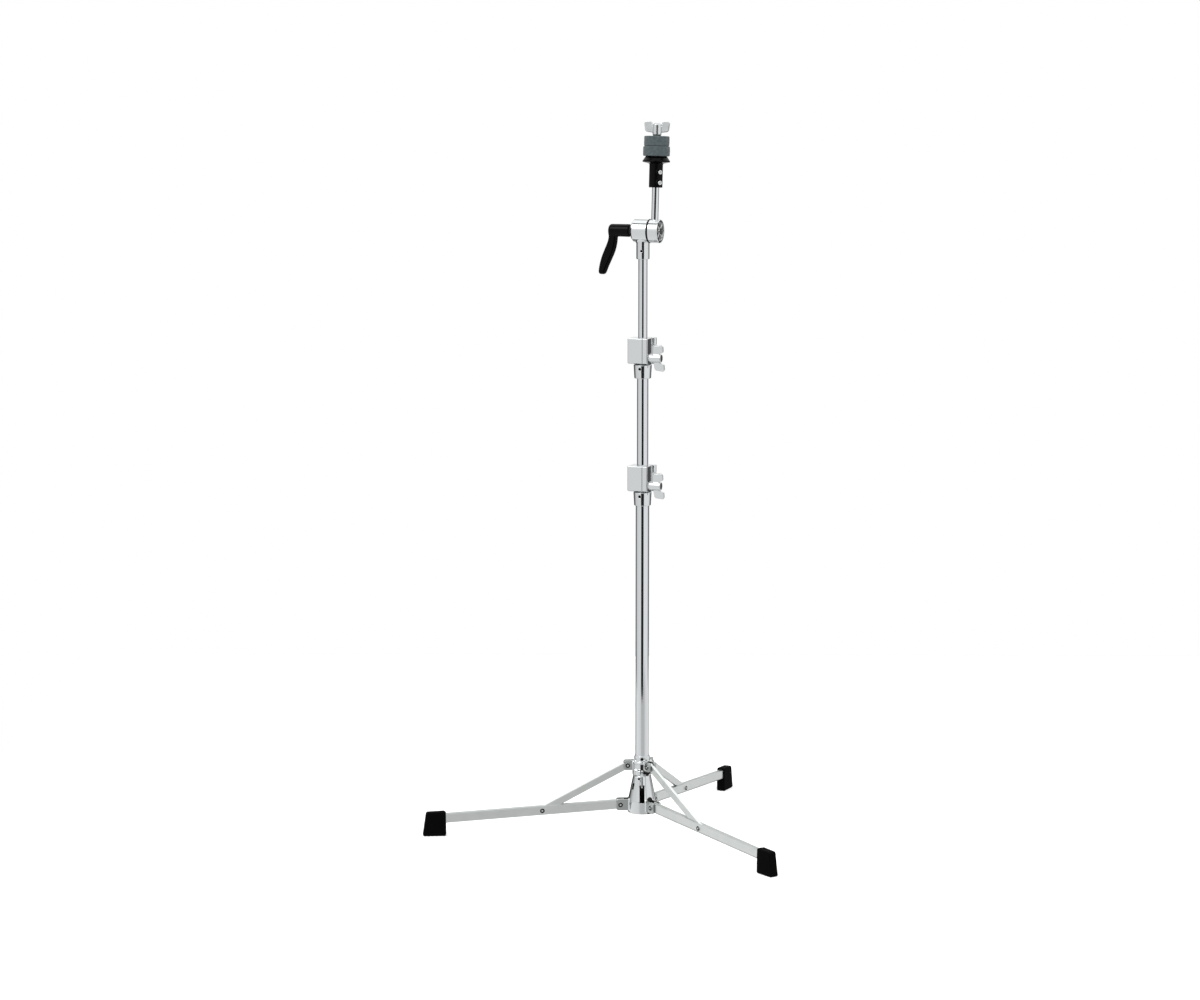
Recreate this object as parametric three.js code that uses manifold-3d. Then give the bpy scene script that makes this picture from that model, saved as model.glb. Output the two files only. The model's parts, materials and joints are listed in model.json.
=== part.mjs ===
// Straight cymbal stand with a flush three-legged base. Millimetres, +Z up.
// The origin is on the floor, at the centre of the box that the stand fills.
import * as THREE from 'three';
import { mergeVertices } from 'three/addons/utils/BufferGeometryUtils.js';
import Module from 'manifold-3d';

const wasm = await Module();
wasm.setup();

// Fits shared by all pieces
const seatGap = 0.3; // between pieces that rest against each other
const pressGap = 0.05; // radial, between round pieces that stay together
const runningGap = 0.06; // radial, between a shaft and the hole that it turns or slides in
const overrun = 3; // how far a cutting solid runs past the face it opens
const edgeRound = 0.8; // small rounding on turned edges

// Facet counts
const tubeSides = 24;
const turnedSides = 20;
const pinSides = 10;
const hexSides = 6;
const cornerSteps = 3;
const bevelSteps = 1;

// Directions, in degrees about the pole
const leftLegTurn = 180;
const frontLegTurn = -60;
const rearLegTurn = 60;
const legTurns = { left: leftLegTurn, front: frontLegTurn, rear: rearLegTurn };
const headTurn = -25; // the tilter's axis and the lock bolts
const frontTurn = -95; // the side that carries the latch tongue
const hubScrewTurn = -112;
const hubWindowTurn = -150;
const receiverScrewTurn = -115;

// Tubes
const baseTubeRadius = 9.525;
const middleTubeRadius = 7.94;
const upperTubeRadius = 6.35;
const tubeWall = 1.2;
const baseTubeLength = 443;
const middleTubeLength = 400;
const upperTubeLength = 400;
const middleTubeShown = 178.7; // height of its top above the base tube's top
const upperTubeShown = 173.1; // height of its top above the middle tube's top

// Hub at the foot of the pole
const hubBottom = 29.2;
const hubHeight = 54.1;
const hubFootRadius = 20;
const hubTopRadius = 12.4;
const hubSkirtHeight = 17;
const hubFloor = 5;
const hubDrainRadius = 6.5;
const hubSlotWidth = 6.6;
const hubSlotRise = 16.6;
const hubSlotHeight = 24.2;
const hubWindowWidth = 3.4;
const hubWindowRise = 34;
const hubWindowHeight = 9;
const hubScrewRadius = 1.7;
const hubScrewDrop = 4.2;

// Legs and their pivots
const legPivotRadius = 31;
const legPivotHeight = 41;
const legSlope = 3.7; // degrees down, outwards
const legWidth = 8.3;
const legDepth = 13.2;
const legWall = 1.3;
const legLength = 272.6;
const legHeel = 6;
const legCorner = 1.6;
const legSideGap = 0.25;
const hubEarWall = 2.6;
const hubEarHeight = 16;
const hubEarEnd = 5.8;
const earCorner = 2.2;
const legPinRadius = 2.4;
const rivetHeadRadius = 3.4;
const rivetHeadHeight = 1.3;

// Feet
const footLength = 33;
const footHeight = 35;
const footWidth = 13;
const footTopLean = 5; // how far the outer end slopes in towards the top
const footEndWall = 7.5;
const footRound = 1.7;
const footCorner = 3;
const footTopDrop = 1.2;

// Braces and the collar that they carry
const bracePivotDistance = 110.8; // along the leg, from its pivot
const braceThickness = 4.6;
const braceHeight = 10;
const bracePinRadius = 2;
const braceSideGap = 0.35;
const collarPivotRadius = 20.7;
const collarPivotRise = 13.9;
const collarHeight = 27.4;
const collarSleeveRadius = 11;
const collarSkirtRadius = 13.6;
const collarSkirtHeight = 6.4;
const collarCrownRadius = 15;
const collarCrownRise = 15.5;
const collarCrownThickness = 4.2;
const collarEarWall = 3.3;
const collarEarHeight = 13.6;
const collarEarEnd = 5.6;
const collarScrewRadius = 1.9;
const collarScrewRise = 23.2;
const collarSlip = 0.12;
const tongueWidth = 3;
const tongueThickness = 1.2;
const tongueDrop = 16.6;
const tongueRise = 8.5;

// Receivers on top of the base tube and the middle tube
const receiverHeight = 18.4;
const receiverOverlap = 9.6;
const receiverFootRadius = 11.7;
const receiverTopRadius = 12.8;
const receiverScrewRadius = 1.9;
const receiverScrewRise = 13.6;
const bushFlangeRadius = 10.4;
const bushFlange = 0.5;

// Memory locks, in a frame with X along the wing bolt
const lockHeight = 37;
const lockLeft = 17.1;
const lockSplit = 5;
const lockRight = 12.4;
const lockFront = 16;
const lockBack = 10.8;
const lockCorner = 1.6;
const lockChinDrop = 2.4;
const lockHingeX = 12.2;
const lockHingeY = 11.4;
const lockBarrelRadius = 4.1;
const lockHingePinRadius = 1.7;
const lockLugHeight = 10.4;
const lockBoltRadius = 2.5;
const lockBoltOffset = 11.2;
const lockBoltRise = 10.4;
const lockBoltDepth = 11;
const lockBoltReach = 12.4;
const lockBoltPlay = 0.8;
const lockGap = 0.25; // between the jaws when clamped

// Wing nuts on the locks and on top of the rod
const lockNutHubRadius = 5.9;
const lockNutFootRadius = 4.4;
const lockNutLength = 19;
const lockWingReach = 19.5;
const topNutHubRadius = 6.1;
const topNutFootRadius = 5.4;
const topNutLength = 16.5;
const topWingReach = 18.3;
const wingThickness = 3;
const wingBreadth = 15.2;
const wingRise = 3.6; // how far the wing tips stand past the end of the hub
const wingTopWidth = 10.6;
const lockWingRoll = 12; // degrees
const topWingRoll = 8; // degrees

// Tilter, in a frame with X along its bolt and Z up
const tilterRise = 22; // axis above the top of the upper tube
const neckLeft = 14.2;
const neckRight = 9.6;
const neckRadius = 15.8;
const neckChamfer = 2.6;
const socketRadius = 9.2;
const socketDepth = 17;
const socketScrewRadius = 1.6;
const socketScrewRise = 11.5;
const socketScrewTurn = -84;
const gasketThickness = 1.4;
const gasketRadius = 15.4;
const faceGap = 0.1; // between the faces that turn on each other
const drumRadius = 16.3;
const drumLength = 14.6;
const drumChamfer = 0.8;
const capRadius = 14.6;
const capThickness = 2.1;
const capSpokes = 8;
const capSpokeWidth = 2.2;
const capRimWidth = 1.8;
const capHubRadius = 4.6;
const capPocket = 1.1;
const tilterBoltRadius = 4;
const boltHeadRadius = 6.6;
const boltHeadHeight = 4.6;
const boltEnd = 25;

// Ratchet lever
const insertFlangeRadius = 7.6;
const insertFlange = 4.4;
const insertRadius = 6.1;
const insertEnd = 36;
const leverFace = 19;
const leverEnd = 49.6;
const leverHubRadius = 8.9;
const leverWeb = 2;
const leverScrewRadius = 1.9;
const leverScrewHeadRadius = 3.9;
const leverScrewHead = 2.2;
const leverSpringLength = 4.9;
const leverBoreGap = 0.25;
const leverDrop = 61.5;
const leverRootX = 44;
const leverTipX = 59.5;
const leverRootWidth = 12.6;
const leverBellyWidth = 16.6;
const leverTipWidth = 11;
const leverThickness = 10.5;
const leverRound = 3;

// Rod, cymbal seat and felts, along the rod from the tilter's axis
const rodLean = 4; // degrees
const rodRadius = 4.9;
const rodBackset = 1.6; // from the rod to the end cap
const rodFoot = 8.9;
const rodShoulder = 64;
const threadRadius = 4;
const seatFoot = 60;
const seatSleeveRadius = 9.4;
const seatFlangeRise = 33.5;
const seatFlangeRadius = 19;
const seatRim = 1.6;
const seatTopRadius = 14.8;
const seatConeRise = 9.5;
const seatNeckRadius = 6;
const seatNeckHeight = 24;
const seatScrewTurn = -43;
const seatBossRadius = 3.7;
const seatBossReach = 11.8;
const seatScrewRadius = 1.9;
const seatScrewHeadRadius = 2.9;
const seatScrewHead = 1.5;
const seatScrewRises = { lower: 6.5, upper: 21 };
const lowerFeltRadius = 18.6;
const lowerFeltHeight = 13.2;
const upperFeltRadius = 17.6;
const upperFeltHeight = 13.8;
const feltRound = 1.4;
const feltGap = 0.3;
const threadEnd = 1.2; // how far the thread shows above the top wing nut

// Heights that follow
const hubTop = hubBottom + hubHeight;
const baseTubeBottom = hubBottom + hubFloor + seatGap;
const baseTubeTop = baseTubeBottom + baseTubeLength;
const middleTubeTop = baseTubeTop + middleTubeShown;
const upperTubeTop = middleTubeTop + upperTubeShown;
const tilterHeight = upperTubeTop + tilterRise;
const collarBottom = hubTop + seatGap;
const footReach = legPivotRadius + legLength * Math.cos(radians(legSlope)) + footEndWall;
const drumFoot = neckRight + 2 * faceGap + gasketThickness;
const drumEnd = drumFoot + drumLength;
const rodOffset = drumEnd - capThickness - seatGap - rodBackset - rodRadius;
const legSpread = Math.cos(radians(legTurns.rear));
const poleX = (footReach * (1 - legSpread) - (footWidth / 2) * Math.sin(radians(legTurns.rear))) / 2;

// Finishes
const chrome = { color: 0xd3d6d8, roughness: 0.12, metalness: 1 };
const steel = { color: 0xb9bcbe, roughness: 0.3, metalness: 1 };
const darkSteel = { color: 0x3a3d40, roughness: 0.4, metalness: 1 };
const blackPlastic = { color: 0x121314, roughness: 0.3, metalness: 0 };
const rubber = { color: 0x161616, roughness: 0.8, metalness: 0 };
const felt = { color: 0x6b7678, roughness: 1, metalness: 0 };
const nylon = { color: 0xb9bdbb, roughness: 0.6, metalness: 0 };

function radians(degrees) {
  return THREE.MathUtils.degToRad(degrees);
}

// The corner radius of a faceted hole whose flats clear a round shaft
function holeRadius(shaftRadius, gap, sides) {
  return (shaftRadius + gap) / Math.cos(Math.PI / sides);
}

// A closed geometry as a solid, with its faces turned outwards
function solid(geometry) {
  const plain = geometry.clone();
  plain.deleteAttribute('normal');
  plain.deleteAttribute('uv');
  const merged = mergeVertices(plain);
  const places = new Float32Array(merged.attributes.position.array);
  const corners = [];
  const source = merged.index.array;
  let volume = 0;
  const points = [new THREE.Vector3(), new THREE.Vector3(), new THREE.Vector3()];
  for (let i = 0; i < source.length; i += 3) {
    const [a, b, c] = [source[i], source[i + 1], source[i + 2]];
    if (a === b || b === c || c === a) continue;
    corners.push(a, b, c);
    points[0].fromArray(places, 3 * a);
    points[1].fromArray(places, 3 * b);
    points[2].fromArray(places, 3 * c);
    volume += points[0].dot(points[1].cross(points[2]));
  }
  if (volume < 0) corners.reverse();
  const mesh = new wasm.Mesh({
    numProp: 3,
    vertProperties: places,
    triVerts: new Uint32Array(corners),
  });
  return new wasm.Manifold(mesh);
}

function join(...geometries) {
  return surface(geometries.map(solid).reduce((whole, piece) => whole.add(piece)));
}

function cut(geometry, ...tools) {
  return surface(tools.map(solid).reduce((rest, tool) => rest.subtract(tool), solid(geometry)));
}

function surface(manifold) {
  const mesh = manifold.getMesh();
  const geometry = new THREE.BufferGeometry();
  geometry.setAttribute('position', new THREE.BufferAttribute(new Float32Array(mesh.vertProperties), 3));
  geometry.setIndex(new THREE.BufferAttribute(new Uint32Array(mesh.triVerts), 1));
  geometry.computeVertexNormals();
  return geometry;
}

// A profile of [radius, height] points turned about Z
function turned(profile, sides) {
  const points = profile.map(([radius, height]) => new THREE.Vector2(radius, height));
  return new THREE.LatheGeometry(points, sides).rotateX(Math.PI / 2);
}

// A ring whose profile closes on itself
function ring(profile, sides) {
  return turned([...profile, profile[0]], sides);
}

function rod(radius, from, to, sides) {
  return turned([[0, from], [radius, from], [radius, to], [0, to]], sides);
}

function tube(outer, inner, from, to, sides) {
  return ring([[inner, from], [outer, from], [outer, to], [inner, to]], sides);
}

function block(from, to) {
  const size = to.map((value, axis) => value - from[axis]);
  const middle = to.map((value, axis) => (value + from[axis]) / 2);
  return new THREE.BoxGeometry(...size).translate(...middle);
}

// An outline of [x, y, rounding] points, with rounded corners where asked
function outline(points) {
  const shape = new THREE.Shape();
  points.forEach(([x, y, rounding = 0], index) => {
    const here = new THREE.Vector2(x, y);
    const before = new THREE.Vector2(...points.at(index - 1).slice(0, 2));
    const after = new THREE.Vector2(...points[(index + 1) % points.length].slice(0, 2));
    const enter = here.clone().add(before.sub(here).setLength(rounding));
    const leave = here.clone().add(after.sub(here).setLength(rounding));
    if (index === 0) shape.moveTo(enter.x, enter.y);
    else shape.lineTo(enter.x, enter.y);
    if (rounding > 0) shape.quadraticCurveTo(x, y, leave.x, leave.y);
  });
  return shape;
}

// An outline in the XY plane, made thick along Z
function plate(shape, from, to) {
  const settings = { depth: to - from, bevelEnabled: false, curveSegments: cornerSteps };
  return new THREE.ExtrudeGeometry(shape, settings).translate(0, 0, from);
}

// An outline in the XZ plane, centred on Y, with its edges rounded where asked
function sidePlate(shape, thickness, rounding = 0) {
  const settings = {
    depth: thickness - 2 * rounding,
    bevelEnabled: rounding > 0,
    bevelThickness: rounding,
    bevelSize: rounding,
    bevelOffset: -rounding,
    bevelSegments: bevelSteps,
    curveSegments: cornerSteps,
  };
  const geometry = new THREE.ExtrudeGeometry(shape, settings);
  return geometry.translate(0, 0, rounding - thickness / 2).rotateX(Math.PI / 2);
}

const alongX = (geometry) => geometry.rotateY(Math.PI / 2);
const alongY = (geometry) => geometry.rotateX(-Math.PI / 2);
const about = (geometry, degrees) => geometry.rotateZ(radians(degrees));

function piece(name, geometry, finish) {
  const mesh = new THREE.Mesh(surface(solid(geometry)), new THREE.MeshStandardMaterial(finish));
  mesh.name = name;
  return mesh;
}

function assembly(...children) {
  const group = new THREE.Group();
  group.add(...children);
  return group;
}

// A rivet along Y with a domed head at each end
function rivet(grip, radius) {
  const half = grip / 2 + seatGap / 2;
  const crown = rivetHeadRadius / 2;
  const top = half + rivetHeadHeight;
  const upper = [[radius, half], [rivetHeadRadius, half], [crown, top], [0, top]];
  const lower = upper.map(([r, h]) => [r, -h]).reverse();
  return alongY(turned([...lower, ...upper], pinSides));
}

// A screw that runs radially from one radius to another, in the direction turn
function radialScrew(radius, from, to, height, turn) {
  return about(alongX(rod(radius, from, to, pinSides)).translate(0, 0, height), turn);
}

function hubRadiusAt(height) {
  const share = (hubTop - height) / (hubHeight - hubSkirtHeight);
  return hubTopRadius + (hubFootRadius - hubTopRadius) * Math.min(share, 1);
}

// Two cheeks with rounded ends, standing out along X on both sides of a gap
function clevis(from, to, centre, height, gap, wall) {
  const low = centre - height / 2;
  const high = centre + height / 2;
  const shape = outline([[from, low], [to, low, earCorner], [to, high, earCorner], [from, high]]);
  const shift = (gap + wall) / 2;
  return [-shift, shift].map((y) => sidePlate(shape, wall).translate(0, y, 0));
}

function baseHub() {
  const bore = baseTubeRadius + pressGap;
  const body = ring([
    [hubDrainRadius, hubBottom],
    [hubFootRadius - edgeRound, hubBottom],
    [hubFootRadius, hubBottom + edgeRound],
    [hubFootRadius, hubBottom + hubSkirtHeight],
    [hubTopRadius, hubTop - edgeRound],
    [hubTopRadius - edgeRound, hubTop],
    [bore, hubTop],
    [bore, hubBottom + hubFloor],
    [hubDrainRadius, hubBottom + hubFloor],
  ], tubeSides);
  const gap = legWidth + 2 * legSideGap;
  const ears = Object.values(legTurns).flatMap((turn) => {
    const from = hubTopRadius;
    const to = legPivotRadius + hubEarEnd;
    const cheeks = clevis(from, to, legPivotHeight, hubEarHeight, gap, hubEarWall);
    return cheeks.map((cheek) => about(cheek, turn));
  });
  const earHoles = Object.values(legTurns).map((turn) => {
    const reach = gap / 2 + hubEarWall + overrun;
    const hole = alongY(rod(legPinRadius + pressGap, -reach, reach, pinSides));
    return about(hole.translate(legPivotRadius, 0, legPivotHeight), turn);
  });
  const slotTop = hubBottom + hubSlotRise + hubSlotHeight;
  const slot = block(
    [baseTubeRadius, -hubSlotWidth / 2, hubBottom + hubSlotRise],
    [hubFootRadius + overrun, hubSlotWidth / 2, slotTop],
  );
  const windowTop = hubBottom + hubWindowRise + hubWindowHeight;
  const window = block(
    [baseTubeRadius, -hubWindowWidth / 2, hubBottom + hubWindowRise],
    [hubFootRadius + overrun, hubWindowWidth / 2, windowTop],
  );
  const screwHeight = hubTop - hubScrewDrop;
  const screwHole = radialScrew(hubScrewRadius + pressGap, 0, hubFootRadius + overrun, screwHeight, hubScrewTurn);
  const tubeRoom = rod(bore, hubBottom + hubFloor, hubTop + overrun, tubeSides);
  const whole = join(body, ...ears);
  return cut(whole, tubeRoom, about(slot, frontTurn), about(window, hubWindowTurn), screwHole, ...earHoles);
}

// A channel open at the top, with its pivot at the origin and its length along X
function legChannel() {
  const half = legWidth / 2;
  const inner = half - legWall;
  const top = legDepth / 2;
  const shape = outline([
    [-half, top],
    [-half, -top, legCorner],
    [half, -top, legCorner],
    [half, top],
    [inner, top],
    [inner, legWall - top],
    [-inner, legWall - top],
    [-inner, top],
  ]);
  const channel = plate(shape, -legHeel, legLength).rotateX(Math.PI / 2).rotateZ(Math.PI / 2);
  const reach = half + overrun;
  const pivotHole = alongY(rod(holeRadius(legPinRadius, runningGap, pinSides), -reach, reach, pinSides));
  const braceHole = alongY(rod(bracePinRadius + pressGap, -reach, reach, pinSides));
  return cut(channel, pivotHole, braceHole.translate(bracePivotDistance, 0, 0));
}

// Places a piece of the leg in the frame of the pole, before the leg's own turn
function onLeg(geometry) {
  return geometry.rotateY(radians(legSlope)).translate(legPivotRadius, 0, legPivotHeight);
}

function rubberFoot() {
  const inner = footReach - footLength;
  const shape = outline([
    [inner, 0, footCorner],
    [footReach, 0, footCorner],
    [footReach - footTopLean, footHeight - footTopDrop, footCorner],
    [inner, footHeight, footCorner],
  ]);
  const half = legWidth / 2 + seatGap;
  const rise = legDepth / 2 + seatGap;
  const socket = onLeg(block([legLength - footLength - overrun, -half, -rise], [legLength + seatGap, half, rise]));
  return cut(sidePlate(shape, footWidth, footRound), socket);
}

function braceLine() {
  const slope = radians(legSlope);
  const foot = new THREE.Vector2(
    legPivotRadius + bracePivotDistance * Math.cos(slope),
    legPivotHeight - bracePivotDistance * Math.sin(slope),
  );
  const head = new THREE.Vector2(collarPivotRadius, collarBottom + collarPivotRise);
  return { foot, head, length: foot.distanceTo(head), rise: head.clone().sub(foot).angle() };
}

// A flat bar with round ends, its lower pivot at the origin
function braceBar(length) {
  const half = braceHeight / 2;
  const shape = new THREE.Shape();
  shape.absarc(length, 0, half, -Math.PI / 2, Math.PI / 2, false);
  shape.absarc(0, 0, half, Math.PI / 2, (3 * Math.PI) / 2, false);
  const settings = { depth: braceThickness, bevelEnabled: false, curveSegments: 2 * cornerSteps };
  const bar = new THREE.ExtrudeGeometry(shape, settings);
  bar.translate(0, 0, -braceThickness / 2).rotateX(Math.PI / 2);
  const hole = alongY(rod(holeRadius(bracePinRadius, runningGap, pinSides), -legWidth, legWidth, pinSides));
  return cut(bar, hole, hole.clone().translate(length, 0, 0));
}

function braceCollar() {
  const bore = holeRadius(baseTubeRadius, collarSlip, tubeSides);
  const crownBottom = collarBottom + collarCrownRise;
  const skirtTop = collarBottom + collarSkirtHeight;
  const body = ring([
    [bore, collarBottom],
    [collarSkirtRadius - edgeRound, collarBottom],
    [collarSkirtRadius, collarBottom + edgeRound],
    [collarSkirtRadius, skirtTop],
    [collarSleeveRadius, skirtTop + collarSkirtRadius - collarSleeveRadius],
    [collarSleeveRadius, crownBottom],
    [collarCrownRadius, crownBottom + edgeRound],
    [collarCrownRadius, crownBottom + collarCrownThickness - edgeRound],
    [collarCrownRadius - edgeRound, crownBottom + collarCrownThickness],
    [collarSleeveRadius, crownBottom + collarCrownThickness],
    [collarSleeveRadius, collarBottom + collarHeight],
    [bore, collarBottom + collarHeight],
  ], tubeSides);
  const gap = braceThickness + 2 * braceSideGap;
  const pivotHeight = collarBottom + collarPivotRise;
  const cheeks = Object.values(legTurns).flatMap((turn) => {
    const to = collarPivotRadius + collarEarEnd;
    const pair = clevis(baseTubeRadius, to, pivotHeight, collarEarHeight, gap, collarEarWall);
    return pair.map((cheek) => about(cheek, turn));
  });
  const holes = Object.values(legTurns).map((turn) => {
    const reach = gap / 2 + collarEarWall + overrun;
    const hole = alongY(rod(bracePinRadius + pressGap, -reach, reach, pinSides));
    return about(hole.translate(collarPivotRadius, 0, pivotHeight), turn);
  });
  const braceRooms = Object.values(legTurns).map((turn) => {
    const low = pivotHeight - collarEarHeight;
    const from = [collarPivotRadius - braceHeight / 2 - seatGap, -gap / 2, low];
    return about(block(from, [collarPivotRadius + braceHeight, gap / 2, pivotHeight + collarEarHeight]), turn);
  });
  const tubeRoom = rod(bore, collarBottom - overrun, collarBottom + collarHeight + overrun, tubeSides);
  const screwHole = radialScrew(
    collarScrewRadius + pressGap, 0, collarCrownRadius + overrun, collarBottom + collarScrewRise, frontTurn,
  );
  return cut(join(body, ...cheeks), tubeRoom, screwHole, ...holes, ...braceRooms);
}

// A strip that hangs from the collar's skirt and follows the hub's cone
function latchTongue() {
  const tip = hubTop - tongueDrop;
  const onHub = (height) => hubRadiusAt(height) + seatGap;
  const onSkirt = Math.max(collarSkirtRadius, hubTopRadius) + seatGap;
  const inner = [[onHub(tip), tip], [onHub(hubTop), hubTop], [onSkirt, collarBottom], [onSkirt, hubTop + tongueRise]];
  const outer = inner.map(([x, z]) => [x + tongueThickness, z]).reverse();
  return about(sidePlate(outline([...inner, ...outer]), tongueWidth), frontTurn);
}

function base() {
  const line = braceLine();
  const parts = [piece('base_hub', baseHub(), chrome)];
  const wall = tube(baseTubeRadius, baseTubeRadius - tubeWall, baseTubeBottom, baseTubeTop, tubeSides);
  parts.push(piece('base_tube', wall, chrome));
  const hubScrewEnd = hubRadiusAt(hubTop - hubScrewDrop) + seatGap;
  const hubScrew = radialScrew(
    hubScrewRadius, baseTubeRadius + seatGap, hubScrewEnd, hubTop - hubScrewDrop, hubScrewTurn,
  );
  parts.push(piece('hub_screw', hubScrew, darkSteel));
  parts.push(piece('brace_collar', braceCollar(), chrome));
  const collarScrew = radialScrew(
    collarScrewRadius, baseTubeRadius + seatGap, collarSleeveRadius + edgeRound,
    collarBottom + collarScrewRise, frontTurn,
  );
  parts.push(piece('collar_screw', collarScrew, darkSteel));
  parts.push(piece('collar_tongue', latchTongue(), chrome));
  for (const [side, turn] of Object.entries(legTurns)) {
    const channel = piece(`leg_${side}`, legChannel(), steel);
    const hubPin = piece(`hub_pin_${side}`, rivet(legWidth + 2 * legSideGap + 2 * hubEarWall, legPinRadius), chrome);
    const legPin = piece(`leg_pin_${side}`, rivet(legWidth, bracePinRadius), chrome);
    const brace = piece(`brace_${side}`, braceBar(line.length), steel);
    const collarGrip = braceThickness + 2 * braceSideGap + 2 * collarEarWall;
    const collarPin = piece(`collar_pin_${side}`, rivet(collarGrip, bracePinRadius), chrome);
    const foot = piece(`foot_${side}`, rubberFoot(), rubber);
    for (const swung of [channel, hubPin]) {
      swung.position.set(legPivotRadius, 0, legPivotHeight);
      swung.rotation.y = radians(legSlope);
    }
    legPin.position.set(line.foot.x, 0, line.foot.y);
    legPin.rotation.y = radians(legSlope);
    brace.position.set(line.foot.x, 0, line.foot.y);
    brace.rotation.y = -line.rise;
    collarPin.position.set(line.head.x, 0, line.head.y);
    const sideGroup = assembly(channel, hubPin, legPin, brace, collarPin, foot);
    sideGroup.rotation.z = radians(turn);
    parts.push(sideGroup);
  }
  return assembly(...parts);
}

function receiver(tubeRadius) {
  const bore = tubeRadius + pressGap;
  const body = ring([
    [bore, 0],
    [receiverFootRadius - edgeRound, 0],
    [receiverFootRadius, edgeRound],
    [receiverTopRadius, receiverHeight - 2 * edgeRound],
    [receiverTopRadius - edgeRound, receiverHeight],
    [bore, receiverHeight],
  ], tubeSides);
  const hole = radialScrew(
    receiverScrewRadius + pressGap, 0, receiverTopRadius + overrun, receiverScrewRise, receiverScrewTurn,
  );
  return cut(body, hole);
}

// The nylon bush that guides the inner tube, with a flange on the receiver
function guideBush(tubeRadius, innerRadius) {
  const bore = holeRadius(innerRadius, runningGap, tubeSides);
  const outer = tubeRadius - pressGap;
  const foot = receiverOverlap + seatGap;
  const top = receiverHeight + seatGap + bushFlange;
  const flangeFoot = receiverHeight + seatGap;
  return ring([
    [bore, foot],
    [outer, foot],
    [outer, flangeFoot],
    [bushFlangeRadius, flangeFoot],
    [bushFlangeRadius, top],
    [bore, top],
  ], tubeSides);
}

// The fixed jaw: the block with the front face, and the lugs of the hinge at its back
function lockJaw(innerRadius) {
  const right = lockSplit - lockGap / 2;
  const plan = outline([
    [-lockLeft, -lockFront, lockCorner],
    [right, -lockFront],
    [right, lockBack],
    [-lockLeft, lockBack, lockCorner],
  ]);
  const body = plate(plan, 0, lockHeight);
  const lugs = [0, lockHeight - lockLugHeight].map((foot) => {
    const half = lockBarrelRadius;
    const arm = block([0, lockHingeY - half, foot], [lockHingeX, lockHingeY + half, foot + lockLugHeight]);
    const eye = rod(half, foot, foot + lockLugHeight, pinSides).translate(lockHingeX, lockHingeY, 0);
    return [arm, eye];
  }).flat();
  const bore = rod(holeRadius(innerRadius, runningGap, tubeSides), -overrun, lockHeight + overrun, tubeSides);
  const pinHole = rod(lockHingePinRadius + pressGap, -overrun, lockHeight + overrun, pinSides);
  const boltHole = alongX(rod(lockBoltRadius + pressGap, lockSplit - lockBoltDepth - seatGap, lockRight, pinSides));
  return cut(
    join(body, ...lugs), bore, pinHole.translate(lockHingeX, lockHingeY, 0),
    boltHole.translate(0, -lockBoltOffset, lockBoltRise), wedgeUnderFront(), gateSpace(),
  );
}

// The slope under the front of a lock
function wedgeUnderFront() {
  const low = -overrun;
  const shape = new THREE.Shape([
    new THREE.Vector2(-lockFront - overrun, low),
    new THREE.Vector2(-lockFront / 2, low),
    new THREE.Vector2(-lockFront / 2, 0),
    new THREE.Vector2(-lockFront, lockChinDrop),
    new THREE.Vector2(-lockFront - overrun, lockChinDrop),
  ]);
  const half = lockLeft + lockRight + overrun;
  return plate(shape, -half, half).rotateX(Math.PI / 2).rotateZ(Math.PI / 2);
}

// Room in the jaw's lugs for the plate of the gate
function gateSpace() {
  const back = lockHingeY - lockBarrelRadius + seatGap;
  return block([lockSplit - lockGap / 2, -lockFront - overrun, -overrun], [lockRight, back, lockHeight + overrun]);
}

// The hinged jaw that the wing nut presses on the tube
function lockGate(innerRadius) {
  const left = lockSplit + lockGap / 2;
  const back = lockHingeY - lockBarrelRadius - seatGap;
  const plan = outline([[left, -lockFront], [lockRight, -lockFront, lockCorner], [lockRight, back], [left, back]]);
  const body = plate(plan, 0, lockHeight);
  const foot = lockLugHeight + seatGap;
  const top = lockHeight - lockLugHeight - seatGap;
  const barrel = rod(lockBarrelRadius, foot, top, pinSides).translate(lockHingeX, lockHingeY, 0);
  const neck = block([lockHingeX - lockBarrelRadius, back - overrun, foot], [lockRight, lockHingeY, top]);
  const bore = rod(holeRadius(innerRadius, runningGap, tubeSides), -overrun, lockHeight + overrun, tubeSides);
  const pinHole = rod(holeRadius(lockHingePinRadius, runningGap, pinSides), -overrun, lockHeight + overrun, pinSides);
  const boltRoom = alongX(rod(holeRadius(lockBoltRadius, lockBoltPlay, pinSides), 0, lockRight + overrun, pinSides));
  return cut(
    join(body, barrel, neck), bore, pinHole.translate(lockHingeX, lockHingeY, 0),
    boltRoom.translate(0, -lockBoltOffset, lockBoltRise), wedgeUnderFront(),
  );
}

// A nut with its foot at the origin and its axis along Z; a closed end leaves it blind
function wingNut(hubRadius, footRadius, length, reach, boreRadius, boreDepth) {
  const hub = turned([
    [0, 0],
    [footRadius, 0],
    [hubRadius, hubRadius - footRadius + edgeRound],
    [hubRadius, length - edgeRound],
    [hubRadius - edgeRound, length],
    [0, length],
  ], turnedSides);
  const tip = length + wingRise;
  const low = tip - wingBreadth;
  const wing = outline([
    [0, low],
    [hubRadius, low],
    [reach - 2 * edgeRound, low + edgeRound, wingThickness],
    [reach, tip, wingThickness],
    [reach - wingTopWidth, tip, wingThickness],
    [hubRadius, length - wingRise, edgeRound],
    [0, length - wingRise],
  ]);
  const right = sidePlate(wing, wingThickness, edgeRound);
  const left = right.clone().rotateZ(Math.PI);
  const bore = rod(boreRadius, -overrun, boreDepth, turnedSides);
  return cut(join(hub, right, left), bore);
}

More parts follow.
